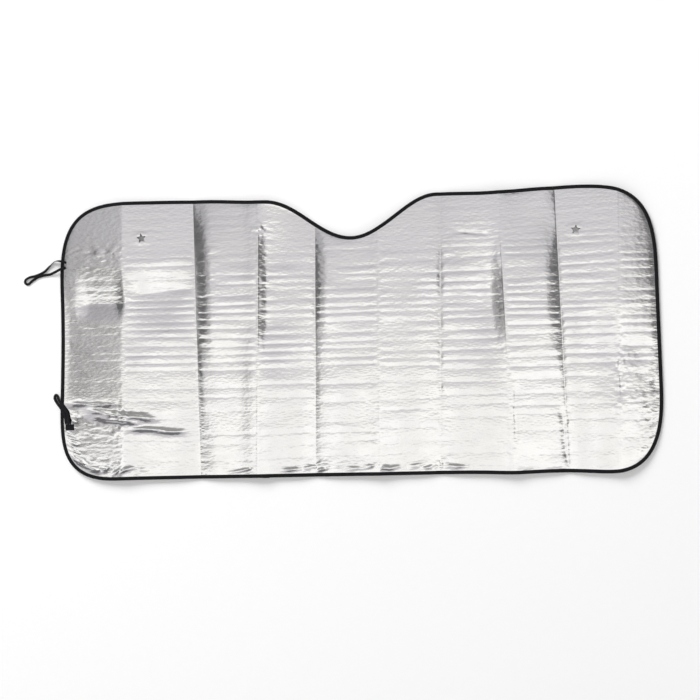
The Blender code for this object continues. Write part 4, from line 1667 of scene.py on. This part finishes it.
        shine = add_node(tree, "ShaderNodeBackground", links={
            "Color": shades.outputs[0], "Strength": known["level"]})
        out = add_node(tree, "ShaderNodeOutputWorld")
        tree.links.new(shine.outputs[0], out.inputs["Surface"])

    def add_lamp(self) -> bpy.types.Object:
        """Broad soft lamp from the far left that the foil doesn't mirror and that stays out of the holes."""
        data = bpy.data.lights.new("soft_lamp", "AREA")
        data.shape = "DISK"
        data.size = self.lamp_size
        data.energy = self.lamp_power
        made = put_in_scene("soft_lamp", data)
        made.location = self.lamp_place
        made.rotation_euler = (-Vector(self.lamp_place)).to_track_quat("-Z", "Y").to_euler()
        made.visible_glossy = False
        return made

    def add_floor(self) -> bpy.types.Object:
        """Plain pale floor that keeps the sunshade's soft shadow."""
        half = self.floor_size / 2
        data = bpy.data.meshes.new("floor")
        data.from_pydata([(-half, -half, 0.0), (half, -half, 0.0), (half, half, 0.0), (-half, half, 0.0)],
                         [], [(0, 1, 2, 3)])
        made, tree, shader = new_material("pale_floor")
        shader.inputs["Roughness"].default_value = 0.9
        shader.inputs["Specular IOR Level"].default_value = 0.1
        place = add_node(tree, "ShaderNodeTexCoord").outputs["Object"]
        grain = add_node(tree, "ShaderNodeTexNoise", links={"Vector": place, "Scale": 60.0, "Detail": 2.0})
        tint = add_node(tree, "ShaderNodeMix", {"data_type": "RGBA"}, {
            0: grain.outputs["Fac"], 6: linear("#F7F7F7"), 7: linear("#F9F9F9")})
        tree.links.new(tint.outputs[2], shader.inputs["Base Color"])
        away = add_node(tree, "ShaderNodeVectorMath", {"operation": "LENGTH"}, {0: place})
        rays = tree.nodes.new("ShaderNodeLightPath").outputs
        known = {"away": away.outputs["Value"], "straight": rays["Is Camera Ray"],
                 "mirrored": rays["Is Glossy Ray"], "through": rays["Is Transmission Ray"]}
        add_steps(tree, known, (
            ("glow", Step.SMOOTH, "away", *self.glow_span, *self.glow_levels),
            ("seen", Step.MOST, "straight", "mirrored"), ("seen", Step.MOST, "seen", "through"),
            ("glow", Step.MULTIPLY, "glow", "seen"),
        ))
        shader.inputs["Emission Color"].default_value = (1.0, 1.0, 1.0, 1.0)
        tree.links.new(known["glow"], shader.inputs["Emission Strength"])
        data.materials.append(made)
        return put_in_scene("floor", data)

    def build(self) -> None:
        """Everything round the sunshade except the camera."""
        bpy.context.scene.view_settings.view_transform = "Standard"
        self.add_surround()
        self.add_lamp()
        self.add_floor()


def count_triangles(pieces: Iterable[bpy.types.Object]) -> int:
    """Triangles in the pieces' meshes."""
    return sum(len(polygon.vertices) - 2 for piece in pieces for polygon in piece.data.polygons)


def main() -> None:
    """Builds the camera, the elastics, the sheet and its tape, then the studio."""
    logging.basicConfig(level=logging.INFO, format="%(message)s")
    studio = Studio()
    studio.add_camera()
    pieces = [UPPER_LOOP.build(), LOWER_LOOP.build(), FoilSheet().build(), EdgeTape().build(),
              TapeStitches().build(), SewnTab().build()]
    for piece in pieces:
        LOG.info("%s: %d triangles", piece.name, count_triangles([piece]))
    studio.build()


if __name__ == "__main__":
    main()
